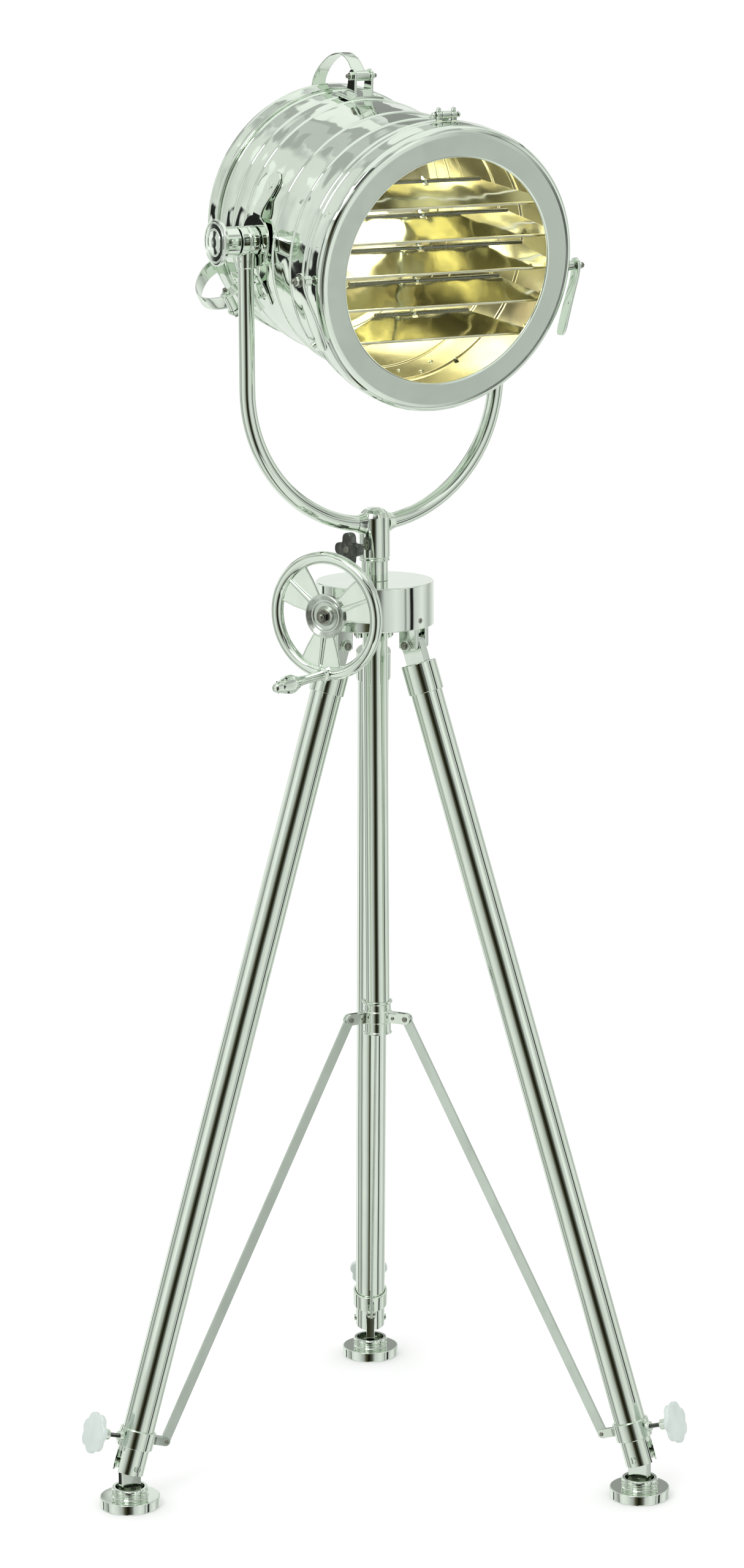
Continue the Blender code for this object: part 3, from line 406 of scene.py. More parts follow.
metals = {
    # light and dark colour, roughness, its spread, slow ripple and fine grain in metres
    "nickelTube": {"light": (0.80, 0.87, 0.79), "dark": (0.70, 0.77, 0.68), "rough": 0.03,
                   "spread": 0.05, "ripple": 0.00010, "rippleScale": 9, "grain": 0.04},
    "nickelSheet": {"light": (0.80, 0.87, 0.79), "dark": (0.69, 0.76, 0.67), "rough": 0.03,
                    "spread": 0.05, "ripple": 0.00055, "rippleScale": 13, "grain": 0.04, "spun": True},
    "nickelFace": {"light": (0.87, 0.945, 0.86), "dark": (0.82, 0.90, 0.81), "rough": 0.16,
                   "spread": 0.05, "ripple": 0.00004, "rippleScale": 5, "grain": 0.04, "spun": True},
    "nickelHub": {"light": (0.83, 0.89, 0.82), "dark": (0.76, 0.83, 0.75), "rough": 0.06,
                  "spread": 0.05, "ripple": 0.00006, "rippleScale": 10, "grain": 0.05},
    # the inside: metal whose cream-gold colour is painted warm bulb light
    "goldInside": {"light": (0.98, 0.955, 0.76), "dark": (0.92, 0.89, 0.66), "rough": 0.17,
                   "spread": 0.08, "ripple": 0.00024, "rippleScale": 11, "grain": 0.03, "spun": True},
    "goldSlat": {"light": (0.91, 0.90, 0.70), "dark": (0.76, 0.75, 0.53), "rough": 0.07,
                 "spread": 0.06, "ripple": 0.00030, "rippleScale": 14, "grain": 0.03},
    "satinSteel": {"light": (0.71, 0.78, 0.71), "dark": (0.58, 0.64, 0.57), "rough": 0.27,
                   "spread": 0.14, "ripple": 0.00003, "rippleScale": 30, "grain": 0.3},
    "palePaint": {"light": (0.72, 0.79, 0.755), "dark": (0.60, 0.67, 0.63), "rough": 0.42,
                  "spread": 0.14, "ripple": 0.00008, "rippleScale": 70, "grain": 0.5, "metallic": 0.35},
    "castAlloy": {"light": (0.70, 0.75, 0.69), "dark": (0.46, 0.50, 0.44), "rough": 0.22,
                  "spread": 0.16, "ripple": 0.00012, "rippleScale": 60, "grain": 1.0},
    "steelRod": {"light": (0.30, 0.31, 0.26), "dark": (0.16, 0.17, 0.14), "rough": 0.22,
                 "spread": 0.16, "ripple": 0.00004, "rippleScale": 60, "grain": 0.2},
    "blackSteel": {"light": (0.15, 0.16, 0.145), "dark": (0.05, 0.055, 0.05), "rough": 0.14,
                   "spread": 0.24, "ripple": 0.00006, "rippleScale": 90, "grain": 0.6},
}


def metal(name, light, dark, rough, spread, ripple, rippleScale, grain, spun=False,
          metallic=1.0):
    material, coords = newFinish(name)
    here = headCoords(coords) if spun else coords
    cloud = here.noise(rippleScale * 0.6, 3, 0.55)
    smear = here.scaled((1, 1, 0.45)).noise(34, 5, 0.62, 0.4)
    hair = here.scaled((1, 1, 0.03) if not spun else (0.15, 0.15, 1)).noise(1400, 2, 0.6)
    spots = here.noise(230, 3, 0.7)
    worn = cloud.steps(0.35, 0.7) * 0.55 + smear.steps(0.45, 0.75) * 0.45
    stain = spots.steps(0.66, 0.78) * smear.steps(0.5, 0.7)
    colour = (worn * 0.8 + stain * 0.2).between(rgb(*light), rgb(*dark))
    shine = rough + (smear.steps(0.35, 0.8) * spread) + (hair - 0.5) * (spread * 0.5) + stain * 0.08
    wave = here.noise(rippleScale, 2, 0.4)
    height = wave + (hair - 0.5) * (0.012 * grain) + spots * (0.02 * grain)
    return closeFinish(material, coords, {"Base Color": colour, "Roughness": shine, "Metallic": metallic},
                       height, ripple * 12)


def bulbGlass():
    material, coords = newFinish("bulbGlass")
    frost = coords.noise(60, 3)
    colour = frost.between(rgb(0.98, 0.95, 0.86), rgb(0.90, 0.86, 0.74))
    glow = frost.between(rgb(1.0, 0.90, 0.62), rgb(1.0, 0.82, 0.50))
    return closeFinish(material, coords, {"Base Color": colour, "Roughness": frost * 0.2 + 0.3,
                                          "Emission Color": glow, "Emission Strength": 0.5},
                       frost, 0.0002)


def socketPlastic():
    material, coords = newFinish("socketPlastic")
    grain = coords.noise(420, 3)
    colour = coords.noise(30, 2).between(rgb(0.045, 0.04, 0.035), rgb(0.09, 0.08, 0.07))
    return closeFinish(material, coords, {"Base Color": colour, "Roughness": grain * 0.3 + 0.35,
                                          "Specular IOR Level": 0.45}, grain, 0.0001)


def floorPaint():
    material, coords = newFinish("floorPaint")
    tone = coords.noise(0.6, 2).between(rgb(0.96, 0.96, 0.96), rgb(0.94, 0.945, 0.94))
    return closeFinish(material, coords, {"Base Color": tone, "Roughness": coords.noise(3, 2) * 0.1 + 0.8})


finishes = {name: metal(name, **values) for name, values in metals.items()}
finishes.update(bulbGlass=bulbGlass(), socketPlastic=socketPlastic(), floorPaint=floorPaint())
print("finishes made:", len(finishes))


# the stand

hub = {"radius": 0.0661, "bottom": 0.9755, "top": 1.0249, "edge": 0.0016, "bore": 0.0144,
       "lugInner": 0.00705, "lugThick": 0.009, "lugIn": 0.0385, "lugWidth": 0.021, "lugDrop": 0.0235,
       "screwAngles": (-42, 78, 198)}


def makeHub():
    top, low, radius = hub["top"], hub["bottom"], hub["radius"]
    drum = hoop(hub["bore"], radius, low, top, 160)
    parts = [(softened(drum, hub["edge"], 3), "nickelHub")]
    for azimuth in legs.values():
        for side in (-1, 1):
            y = sorted((side * hub["lugInner"], side * (hub["lugInner"] + hub["lugThick"])))
            lug = block((hub["lugIn"], hub["lugIn"] + hub["lugWidth"]), y,
                        (low - hub["lugDrop"], low + 0.001), 0.0012)
            parts.append((placed(lug, turn(azimuth, "Z")), "nickelHub"))
    for angle in hub["screwAngles"]:
        out = at(z=low + 0.010) @ turn(angle, "Z") @ alongX
        rim = lathed([(0.0012, radius + 0.0004), (0.0030, radius + 0.0004), (0.0034, radius - 0.001),
                      (0.0012, radius - 0.001)], 24, True, 0.0003)
        parts += [(placed(rim, out), "steelRod"),
                  (placed(hexNut(0.0018, radius - 0.001, radius + 0.0002), out), "blackSteel")]
    boss = lathed([(0, radius - 0.006), (0.0180, radius - 0.006), (0.0160, radius + 0.002),
                   (0.0138, radius + 0.009), (0.0112, 0.0850), (0, 0.0850)], 48, ease=0.002)
    parts.append((placed(boss, wheelSide), "nickelHub"))
    return finished("hubDrum", parts, "stand", "hub", onMast)


def makePost():
    tube = lathed([(0.009, 0.508), (0.0141, 0.508), (0.0141, 1.0252), (0.0151, 1.0252), (0.0151, 1.0472),
                   (0.0125, 1.0472), (0.0125, 1.0768), (0.009, 1.0768)], 72, True, 0.0004)
    finished("mastPost", [(tube, "nickelTube")], "stand", "post", onMast)
    collarRing = hoop(0.0142, 0.0196, hub["bottom"] - 0.0088, hub["bottom"] - 0.0004, 48, 0.001)
    nut = hexNut(0.0228, hub["bottom"] - 0.0082, hub["bottom"] - 0.0004)
    finished("hubLockNut", [(nut, "blackSteel"), (collarRing, "steelRod")], "stand", "hub_nut",
             onMast)


def makeHingeBolt(name):
    end = hub["lugInner"] + hub["lugThick"] + 0.0003
    parts = [(rod(0.0035, -end - 0.004, end + 0.004), "steelRod")]
    for side in (1, -1):
        flip = turn(0 if side == 1 else 180, "X")
        washer = hoop(0.0034, 0.0072, end, end + 0.0010, 32, 0.0003)
        parts.append((placed(washer, flip), "nickelTube"))
        parts.append((placed(hexNut(0.0066, end + 0.0009, end + 0.0042), flip), "nickelTube"))
        parts.append((placed(acorn(0.0044, end + 0.0038, end + 0.0062), flip), "steelRod"))
    finished("legHingeBolt-" + name, parts, "stand", "hinge_bolt_" + name,
             onMast @ turn(legs[name], "Z") @ at(legFrame["hingeOut"], 0, legFrame["hingeHeight"]) @ alongY)


legTube = {"radius": 0.0178, "wall": 0.0018, "end": 0.008, "capRadius": 0.0199, "capStart": 0.0225,
           "capLength": 0.034, "tongueHalf": 0.012, "tongueThick": 0.0135, "slotHalf": 0.00545}


def makeLeg(name):
    frameHere, body = onLeg(name), "leg_" + name
    v = legTube
    capEnd, end = v["capStart"] + v["capLength"], legLength + v["end"]
    sleeve = v["radius"] + 0.0003
    cap = lathed([(0, -v["capStart"]), (v["capRadius"], -v["capStart"]), (v["capRadius"], -capEnd),
                  (sleeve, -capEnd), (sleeve, -v["capStart"] - 0.004), (0, -v["capStart"] - 0.004)], 72,
                 ease=0.0011)
    half = v["tongueHalf"]
    tongue = plate([(-half, -v["capStart"] - 0.002), (half, -v["capStart"] - 0.002), (half, 0.004),
                    (half - 0.005, 0.0095), (-half + 0.005, 0.0095), (-half, 0.004)],
                   -v["tongueThick"] / 2, v["tongueThick"] / 2, 0.003, 0.0007)
    finished("legSocket-" + name, [(cap, "nickelTube"), (placed(tongue, turn(90, "X")), "nickelHub")],
             body, "leg_head_" + name, frameHere)
    shaft = hoop(v["radius"] - v["wall"], v["radius"], -end, -v["capStart"] - 0.0043, 72, 0.0003)
    slot = block((-0.03, 0.03), (-v["slotHalf"], v["slotHalf"]), (-end - 0.01, -legLength + 0.016), 0.0012)
    finished("legTube-" + name, [(carved(shaft, slot), "nickelTube")], body, "leg_tube_" + name,
             frameHere)


ring = {"up": 0.032, "half": 0.0105, "wall": 0.0027, "pinIn": 0.038, "earHeight": 0.0098,
        "earThick": 0.0024, "near": 0.0018}


def cheek(pin, height, root, low, high):
    # a flat ear beside a pin, standing in X and Z
    h, s = height / 2, 1 if pin > root else -1
    outline = [(root, -h)] + [(pin + s * x, z) for x, z in arc(0, 0, h, -90, 90, 12)] + [(root, h)]
    return placed(plate(outline, -high, -low, 0, 0.0003), turn(90, "X"))


def pinHead(radius, low, high, side):
    return placed(rod(radius, low, high, 24, radius * 0.3), turn(-90 * side, "X"))


def makeRing(name):
    inner = legTube["radius"] + 0.0003
    outer = inner + ring["wall"]
    half = ring["half"]
    band = hoop(inner, outer, -half, half, 72, 0.0012)
    parts = [(band, "nickelTube")]
    near, far = ring["near"], ring["near"] + ring["earThick"]
    for side in (-1, 1):
        low, high = sorted((side * near, side * far))
        parts.append((cheek(-ring["pinIn"], ring["earHeight"], -outer + 0.0012, low, high), "nickelTube"))
        pin = pinHead(0.0024, far - 0.0008, far + 0.001, side)
        parts.append((placed(pin, at(-ring["pinIn"])), "steelRod"))
    base = block((-outer - 0.0042, -outer + 0.001), (-0.0042, 0.0042), (-0.0049, 0.0049), 0.0006)
    boss = lathed([(0, inner + 0.0012), (0.0058, inner + 0.0012), (0.0055, outer + 0.0035),
                   (0, outer + 0.0035)], 32, ease=0.0007)
    parts += [(base, "nickelTube"), (placed(boss, alongX), "nickelTube")]
    finished("legRing-" + name, parts, "leg_" + name, "clamp_ring_" + name,
             onLeg(name) @ at(z=ring["up"] - legLength))


knob = {"radius": 0.0235, "lobes": 7, "depth": 0.0028, "face": 0.0585, "thick": 0.0062, "shaft": 0.0025,
        "hubStart": 0.037, "hubRadius": 0.0062}


def makeLegKnob(name):
    v = knob
    disc = lobed(v["radius"], v["depth"], v["lobes"], v["face"] - v["thick"], v["face"], 0.0016, 0.0006)
    barrel = lathed([(0, v["hubStart"]), (v["hubRadius"] - 0.0008, v["hubStart"]),
                     (v["hubRadius"], v["hubStart"] + 0.001),
                     (v["hubRadius"] - 0.0003, v["hubStart"] + 0.010),
                     (v["hubRadius"] + 0.0016, v["face"] - v["thick"] + 0.0006),
                     (0, v["face"] - v["thick"] + 0.0006)], 40, ease=0.0005)
    screw = threaded(v["shaft"], legTube["radius"] + 0.0003, v["hubStart"] + 0.0008)
    finished("legKnob-" + name, [(disc, "palePaint"), (barrel, "nickelTube"), (screw, "blackSteel")],
             "leg_knob_" + name, "clamp_knob_" + name,
             onLeg(name) @ at(z=ring["up"] - legLength) @ alongX)


def makeFootScrew(name):
    start = legTube["radius"] + 0.0003
    parts = [(rod(0.0022, -start - 0.0004, start + 0.0004), "steelRod")]
    for flip in (0, 180):
        parts += [(placed(half, turn(flip, "X")), "nickelTube")
                  for half in slotted(0.0037, start - 0.0004, start + 0.0015, 0.16)]
    finished("footScrew-" + name, parts, "leg_" + name, "foot_screw_" + name,
             onLeg(name) @ at(z=-legLength) @ alongY)


foot = {"blade": 0.0119, "thick": 0.0103, "disc": 0.034, "discThick": 0.0117, "cup": 0.0205, "bore": 0.0165,
        "cupTop": 0.0227}


def makeFoot(name):
    v, down = foot, -legFrame["ankleHeight"]
    outline = arc(0, 0, v["blade"], 0, 180, 28) + [(-v["blade"], down + 0.010), (v["blade"], down + 0.010)]
    blade = placed(plate(outline, -v["thick"] / 2, v["thick"] / 2, 0, 0.0009), turn(90, "X"))
    plug = lathed([(0, down + 0.0062), (v["bore"] - 0.001, down + 0.0062),
                   (v["bore"] - 0.001, down + 0.0115), (v["blade"] - 0.001, down + 0.0150),
                   (0, down + 0.0155)], 56, ease=0.001)
    finished("footBlade-" + name, [(blade, "nickelHub"), (plug, "steelRod")], "foot_" + name,
             "foot_stem_" + name, onFoot(name))
    disc = lathed([(0, down), (v["disc"], down), (v["disc"], down + v["discThick"]),
                   (v["cup"] + 0.0002, down + v["discThick"])], 96, ease=0.0013)
    lip = shifted([(0.0004, v["discThick"] - 0.0006), (-0.0010, 0.0131), (-0.0010, 0.0141), (0, 0.0148),
                   (-0.0002, 0.0158), (-0.0016, 0.0164), (-0.0016, 0.0172), (0, 0.0182), (0.0002, 0.0205),
                   (-0.0010, v["cupTop"])], v["cup"], down)
    rim = lathed(lip + [(v["bore"], down + v["cupTop"]), (v["bore"], down + 0.0058), (0, down + 0.0058)],
                 72, ease=0.0004)
    finished("footDisc-" + name, [(disc, "nickelHub"), (rim, "nickelTube")], "foot_" + name,
             "foot_disc_" + name, onFoot(name))


collar = {"low": 0.5019, "high": 0.5401, "pin": 0.522, "radius": 0.0157, "band": 0.0168, "bore": 0.0144,
          "pinOut": 0.0372, "earHeight": 0.0145, "strutHalf": 0.006, "strutThick": 0.003}


def makeCollar():
    v = collar
    low, high, half = v["low"] - v["pin"], v["high"] - v["pin"], v["earHeight"] / 2
    body = lathed([(v["bore"], low), (v["band"], low), (v["band"], low + 0.0018),
                   (v["radius"], low + 0.0026), (v["radius"], -half + 0.0004), (v["band"], -half + 0.0012),
                   (v["band"], half - 0.0012), (v["radius"], half - 0.0004), (v["radius"], high - 0.0034),
                   (v["band"] + 0.0006, high - 0.0022), (v["band"] + 0.0006, high), (v["bore"], high)], 72,
                  True, 0.0005)
    parts = [(body, "nickelTube")]
    near, far = ring["near"], ring["near"] + ring["earThick"]
    for azimuth in legs.values():
        spin = turn(azimuth, "Z")
        for side in (-1, 1):
            low, high = sorted((side * near, side * far))
            parts.append((placed(cheek(v["pinOut"], v["earHeight"] - 0.002, v["radius"] - 0.0006, low, high),
                                 spin), "nickelTube"))
            for x, z, r in ((v["pinOut"], 0, 0.0031), (v["radius"] + 0.006, -0.0006, 0.0019)):
                parts.append((placed(pinHead(r, far - 0.0008, far + 0.0012, side), spin @ at(x, 0, z)),
                              "steelRod"))
        roof = block((v["radius"] - 0.0006, v["radius"] + 0.0105), (-far, far),
                     (half - 0.0032, half - 0.0012), 0.0005)
        parts.append((placed(roof, spin), "nickelTube"))
    finished("strutCollar", parts, "collar", "collar", onMast @ at(z=v["pin"]))


def makeStrut(name):
    v = collar
    lean = math.radians(legLean)
    reach = legLength - ring["up"]
    out = legFrame["hingeOut"] + reach * math.sin(lean) - ring["pinIn"] * math.cos(lean)
    height = legFrame["hingeHeight"] - reach * math.cos(lean) - ring["pinIn"] * math.sin(lean)
    length = math.hypot(out - v["pinOut"], v["pin"] - height)
    slope = math.degrees(math.atan2(out - v["pinOut"], v["pin"] - height))
    outline = arc(0, 0, v["strutHalf"], 0, 180, 16) + arc(0, -length, v["strutHalf"], 180, 360, 16)
    bar = placed(plate(outline, -v["strutThick"] / 2, v["strutThick"] / 2, 0, 0.0005), turn(90, "X"))
    finished("legStrut-" + name, [(bar, "satinSteel")], "strut_" + name, "strut_" + name,
             onMast @ at(z=v["pin"]) @ turn(legs[name], "Z") @ at(v["pinOut"]) @ turn(-slope, "Y"))


makeHub()
makePost()
makeCollar()
for legName in legs:
    makeHingeBolt(legName)
    makeLeg(legName)
    makeRing(legName)
    makeLegKnob(legName)
    makeFootScrew(legName)
    makeFoot(legName)
    makeStrut(legName)
print("stand made")


# the handwheel

wheel = {"out": 0.1, "rim": 0.0645, "tube": 0.007, "cap": 0.0245, "crank": 0.104, "crankRadius": 0.0052,
         "gripStart": 0.0603, "boltStart": 0.0702, "spokes": (352, 112, 232)}


def makeWheel():
    v, out = wheel, wheel["out"]
    rim = lathed([(v["rim"] + x, out + z) for x, z in arc(0, 0, v["tube"], 0, 345, 23)], 128, True)
    bowl = shifted([(0.0043, -0.012), (0.0130, -0.012), (0.0175, -0.0085), (0.0215, -0.004),
                    (v["cap"], -0.0005), (v["cap"], 0.005), (v["cap"] - 0.0012, 0.006),
                    (v["cap"] - 0.0030, 0.0052), (0.0180, 0.0028), (0.0165, 0.0030), (0.0150, 0.0021),
                    (0.0112, 0.0017), (0.0098, 0.0040), (0.0085, 0.0060), (0.0043, 0.0060)], 0, out)
    dish = lathed(bowl, 96, True, 0.0004)
    parts = [(rim, "nickelTube"), (dish, "castAlloy")]
    for middle in v["spokes"]:
        inner = arc(0, 0, v["cap"] - 0.003, -30, 30, 8)
        outer = arc(0, 0, v["rim"] - 0.003, 25, -25, 12)
        web = plate(inner + outer, out - 0.0012, out + 0.0012, 0, 0.0005)
        for edge in (-1, 1):
            hem = [(edge * a, r) for a, r in ((29, v["cap"] - 0.002), (27, 0.042), (24.5, v["rim"] - 0.004))]
            path = [(math.cos(math.radians(a)) * r, math.sin(math.radians(a)) * r, out + 0.0002)
                    for a, r in hem]
            side = swept(arc(0, 0, 0.0013, 0, 330, 11), stationsAlong(path, Vector((0, 0, 1))))
            parts.append((placed(side, turn(middle, "Z")), "nickelSheet"))
        ribPath = [(r, 0, out + 0.0012) for r in (v["cap"] - 0.003, 0.032, 0.044, v["rim"] - 0.004)]
        ribSizes = ((1.25, 1.1), (1.0, 1.0), (0.85, 0.9), (0.75, 0.8))
        rib = swept(arc(0, 0, 0.0030, 0, 345, 23), stationsAlong(ribPath, sizes=ribSizes))
        parts += [(placed(web, turn(middle, "Z")), "nickelSheet"),
                  (placed(rib, turn(middle, "Z")), "nickelTube")]
    r = v["crankRadius"]
    spindle = lathed([(0, -0.001), (r + 0.0030, -0.001), (r + 0.0030, 0.009), (r + 0.0018, 0.0105),
                      (r + 0.0004, 0.012), (r, 0.016), (r - 0.0003, 0.040), (r + 0.0004, 0.0600),
                      (0.0035, 0.0600), (0.0035, 0.0985), (0, 0.0985)], 48, ease=0.0008)
    parts.append((placed(spindle, at(v["rim"], 0, out)), "nickelTube"))
    finished("handwheelRim", parts, "handwheel", "handwheel", onWheel)
    start, tip = v["gripStart"], v["crank"]
    handle = shifted([(0.0038, 0), (0.0066, 0), (0.0076, 0.0025), (0.0086, 0.0065), (0.0105, 0.0125),
                      (0.0106, 0.017), (0.0098, 0.0215), (0.0078, 0.030), (0.0070, 0.034),
                      (0.0062, 0.0362)], 0, start)
    grip = lathed(handle + [(0.0050, tip - 0.0006), (0.0022, tip + 0.0009), (0, tip + 0.0012),
                            (0, 0.0988), (0.0038, 0.0988)], 48, True, 0.0011)
    dents = []
    marks = ((40, 0.0092, 0.026, 0.0012, -0.0012, 0.0005), (100, 0.0075, 0.034, 0.0009, -0.0014, 0.0001))
    for i in range(3):
        for angle, away, up, radius, low, high in marks:
            spot = turn(120 * i + angle, "Z") @ at(away, 0, start + up) @ alongX
            dents.append((placed(rod(radius, low, high, 16, 0.0002), spot), "blackSteel"))
    finished("crankGrip", [(grip, "nickelTube")] + dents, "crank_grip", "crank_grip",
             onWheel @ at(v["rim"], 0, out))
    nutParts = [(rod(0.004, v["boltStart"], out + 0.012, 32), "steelRod"),
                (hoop(0.0038, 0.0086, out + 0.0063, out + 0.0075, 40, 0.0003), "steelRod"),
                (hexNut(0.0068, out + 0.0074, out + 0.0118), "blackSteel"),
                (acorn(0.0046, out + 0.0112, out + 0.0150), "steelRod")]
    finished("wheelNut", nutParts, "stand", "wheel_bolt", onWheel)


makeWheel()
print("handwheel made")


# the fork

fork = {"radius": 0.158, "tube": 0.0089, "bottom": 1.0885, "socket": 0.0174, "socketLow": 1.0475,
        "bossIn": 0.1484, "bossOut": 0.169, "boss": 0.0165, "capStart": 0.190, "capEnd": 0.197,
        "knobHeight": 1.0645, "knobAngle": 225}


def makeFork():
    v = fork
    top, centre = headFrame["height"], v["bottom"] + v["radius"]
    path = [(-v["radius"], 0, top - 0.004), (-v["radius"], 0, top - 0.05), (-v["radius"], 0, top - 0.1)]
    path += [(x, 0, z) for x, z in arc(0, centre, v["radius"], 180, 360, 60)]
    path += [(v["radius"], 0, top - 0.1), (v["radius"], 0, top - 0.05), (v["radius"], 0, top - 0.004)]
    bar = swept(arc(0, 0, v["tube"], 0, 348.75, 31), stationsAlong(path))
    parts = [(bar, "nickelTube")]
    for side in (-1, 1):
        groove = shifted([(0, 0), (0, 0.0080), (-0.0008, 0.0092), (-0.0008, 0.0106), (0, 0.0118)],
                         v["boss"], v["bossIn"])
        boss = lathed([(0.0063, v["bossIn"])] + groove + [(v["boss"], v["bossOut"]), (0.0063, v["bossOut"])],
                      64, True, 0.0010)
        parts.append((placed(boss, at(z=top) @ turn(90 * side, "Y")), "nickelTube"))
        flare = shifted([(0.0002, -0.0300), (0.0010, -0.0285), (0.0010, -0.0200), (0.0022, -0.0120)],
                        v["tube"], 0)
        neck = lathed([(0, -0.0300)] + flare + [(0, -0.0110)], 48, ease=0.001)
        parts.append((placed(neck, at(side * v["radius"], 0, top)), "nickelTube"))
        fillet = shifted([(0.0042, 0.0135), (0.0022, 0.0180), (0.0008, 0.0215), (-0.0002, 0.0245)],
                         v["tube"], 0)
        weld = lathed([(0, 0.0135)] + fillet + [(0, 0.0245)], 40, ease=0.0015)
        lean = math.degrees(0.017 / v["radius"]) / 2
        parts.append((placed(weld, at(z=v["bottom"]) @ turn(side * (90 - lean), "Y")), "nickelTube"))
    low = v["socketLow"]
    skirt = shifted([(0, 0), (0, 0.0016), (-0.0007, 0.0024), (-0.0007, 0.0036), (0, 0.0044)],
                    v["socket"], low)
    crown = shifted([(0, 0.0075), (-0.0022, 0.0128), (-0.0065, 0.0166), (-0.0110, 0.0182)],
                    v["socket"], v["bottom"])
    plug = [(0, v["bottom"] + 0.0185), (0, 1.0774), (0.0128, 1.0774)]
    socket = lathed([(0.0128, low)] + skirt + crown + plug, 72, True, 0.0009)
    parts.append((socket, "nickelTube"))
    finished("yokeFork", parts, "fork", "fork", onFork)

    spot = onFork @ at(z=v["knobHeight"]) @ turn(v["knobAngle"] - headFrame["pan"], "Z") @ alongX
    star = lobed(0.0185, 0.008, 4, 0.036, 0.0455, 0.0014)
    neck = lathed([(0, 0.0290), (0.0050, 0.0290), (0.0066, 0.0300), (0.0066, 0.0350), (0.0085, 0.0368),
                   (0, 0.0368)], 32, ease=0.0006)
    finished("panKnob",
             [(star, "blackSteel"), (neck, "steelRod"), (threaded(0.003, 0.0128, 0.030), "steelRod"),
              (rod(0.0040, 0.0450, 0.0464, 24), "steelRod")], "pan_knob", "pan_knob", spot)

    for side, name in ((-1, "left"), (1, "right")):
        low, start, end = v["bossOut"] + 0.002, v["capStart"], v["capEnd"]
        shank = [(0.0063, low), (v["boss"] - 0.0005, low), (v["boss"], low + 0.0008),
                 (v["boss"], start - 0.0012), (v["boss"] + 0.002, start - 0.0002), (0.0238, start),
                 (0.0255, start + 0.0014)]
        face = shifted([(0.0255, -0.0024), (0.0243, -0.0013), (0.0222, -0.0011), (0.0217, -0.0021),
                        (0.0211, -0.0021), (0.0206, -0.0010), (0.0150, -0.0008), (0.0145, -0.0019),
                        (0.0138, -0.0019), (0.0132, -0.0008), (0.0060, -0.0001), (0, 0)], 0, end)
        turned = lathed(shank + face + [(0, start - 0.0012), (0.0063, start - 0.0012)], 96, True, 0.0004)
        finished("tiltKnob-" + name, [(turned, "nickelHub")], "tilt_knob_" + name, "tilt_knob_" + name,
                 onFork @ at(z=headFrame["height"]) @ turn(90 * side, "Y"))


makeFork()
print("fork made")


# the head

hingePin = (0.1625, 0.1335)  # the door's hinge: above the drum's axis, and forward
drum = {"flange": (0.1230, 0.1545), "front": 0.1330, "wall": 0.0019, "bead": 0.0012,
        "bands": ((-0.0940, 0.1400), (-0.0640, 0.1412), (-0.0360, 0.1424), (0.0360, 0.1445),
                  (0.0800, 0.1470)),
        "rivets": ((-99, 0.052), (-91, 0.066), (-83, 0.052), (-76, 0.071), (-68, 0.058), (-60, 0.080))}


def inward(shape):
    # faces that look to the axis take the second finish, whose colour holds painted warm bulb light
    for face in shape.faces:
        middle = face.calc_center_median()
        flat = Vector((middle.x, middle.y, 0))
        if face.normal.dot(flat.normalized()) < -0.25:
            face.material_index = 1
    return shape


def makeDrum():
    v = drum
    steps = list(v["bands"]) + [v["flange"]]
    outer = []
    for (start, radius), (end, _) in zip(steps, steps[1:] + [(v["front"], 0)]):
        outer += [(radius - 0.0002, start + 0.0002), (radius + v["bead"], start + 0.0011),
                  (radius + v["bead"], start + 0.0026), (radius, start + 0.0042)]
        if radius < v["flange"][1]:
            outer += [(radius - 0.0002, (start + end) / 2), (radius, end - 0.0012)]
        else:
            outer += [(radius, end)]
    inner = []
    for (start, radius), (end, _) in zip(steps, steps[1:-1] + [(v["front"], 0)]):
        inner += [(radius - v["wall"], start + 0.0004), (radius - v["wall"], end - 0.0014)]
    inner[-1] = (inner[-1][0], v["front"])
    shell = lathed(outer + inner[::-1], 192, True, 0.0007)
    parts = [(inward(shell), ("nickelSheet", "goldInside"))]
    for angle, z in v["rivets"]:
        dome = lathed([(0, 0.1428), (0.0026, 0.1428), (0.0024, 0.1420), (0.0015, 0.1411), (0, 0.1408)], 20,
                      ease=0.0003)
        parts.append((placed(dome, turn(angle, "Z") @ at(z=z) @ alongX), "nickelTube"))
    pinY, pinZ = hingePin
    knuckle = placed(rod(0.0042, -0.0053, 0.0053, 32, 0.0006), at(0, pinY, pinZ) @ alongX)
    leaf = block((-0.0052, 0.0052), (v["flange"][1] - 0.0025, pinY), (pinZ - 0.0037, pinZ - 0.0012), 0.0004)
    pin = placed(rod(0.0017, -0.0160, 0.0160, 24), at(0, pinY, pinZ) @ alongX)
    strap = block((-0.0075, 0.0075), (v["flange"][1] - 0.0004, v["flange"][1] + 0.0014), (0.1110, 0.1300),
                  0.0006)
    parts += [(knuckle, "nickelTube"), (leaf, "nickelTube"), (pin, "steelRod"), (strap, "nickelTube")]
    for side in (-1, 1):
        cone = placed(acorn(0.0030, 0.0148, 0.0176), at(0, pinY, pinZ) @ turn(90 * side, "Y"))
        parts.append((cone, "nickelTube"))
    finished("drumShell", parts, "head", "drum", onHead, 30)


cover = {"rim": 0.1435, "back": -0.119, "front": -0.0943, "wall": 0.0019, "lip": 0.1372}


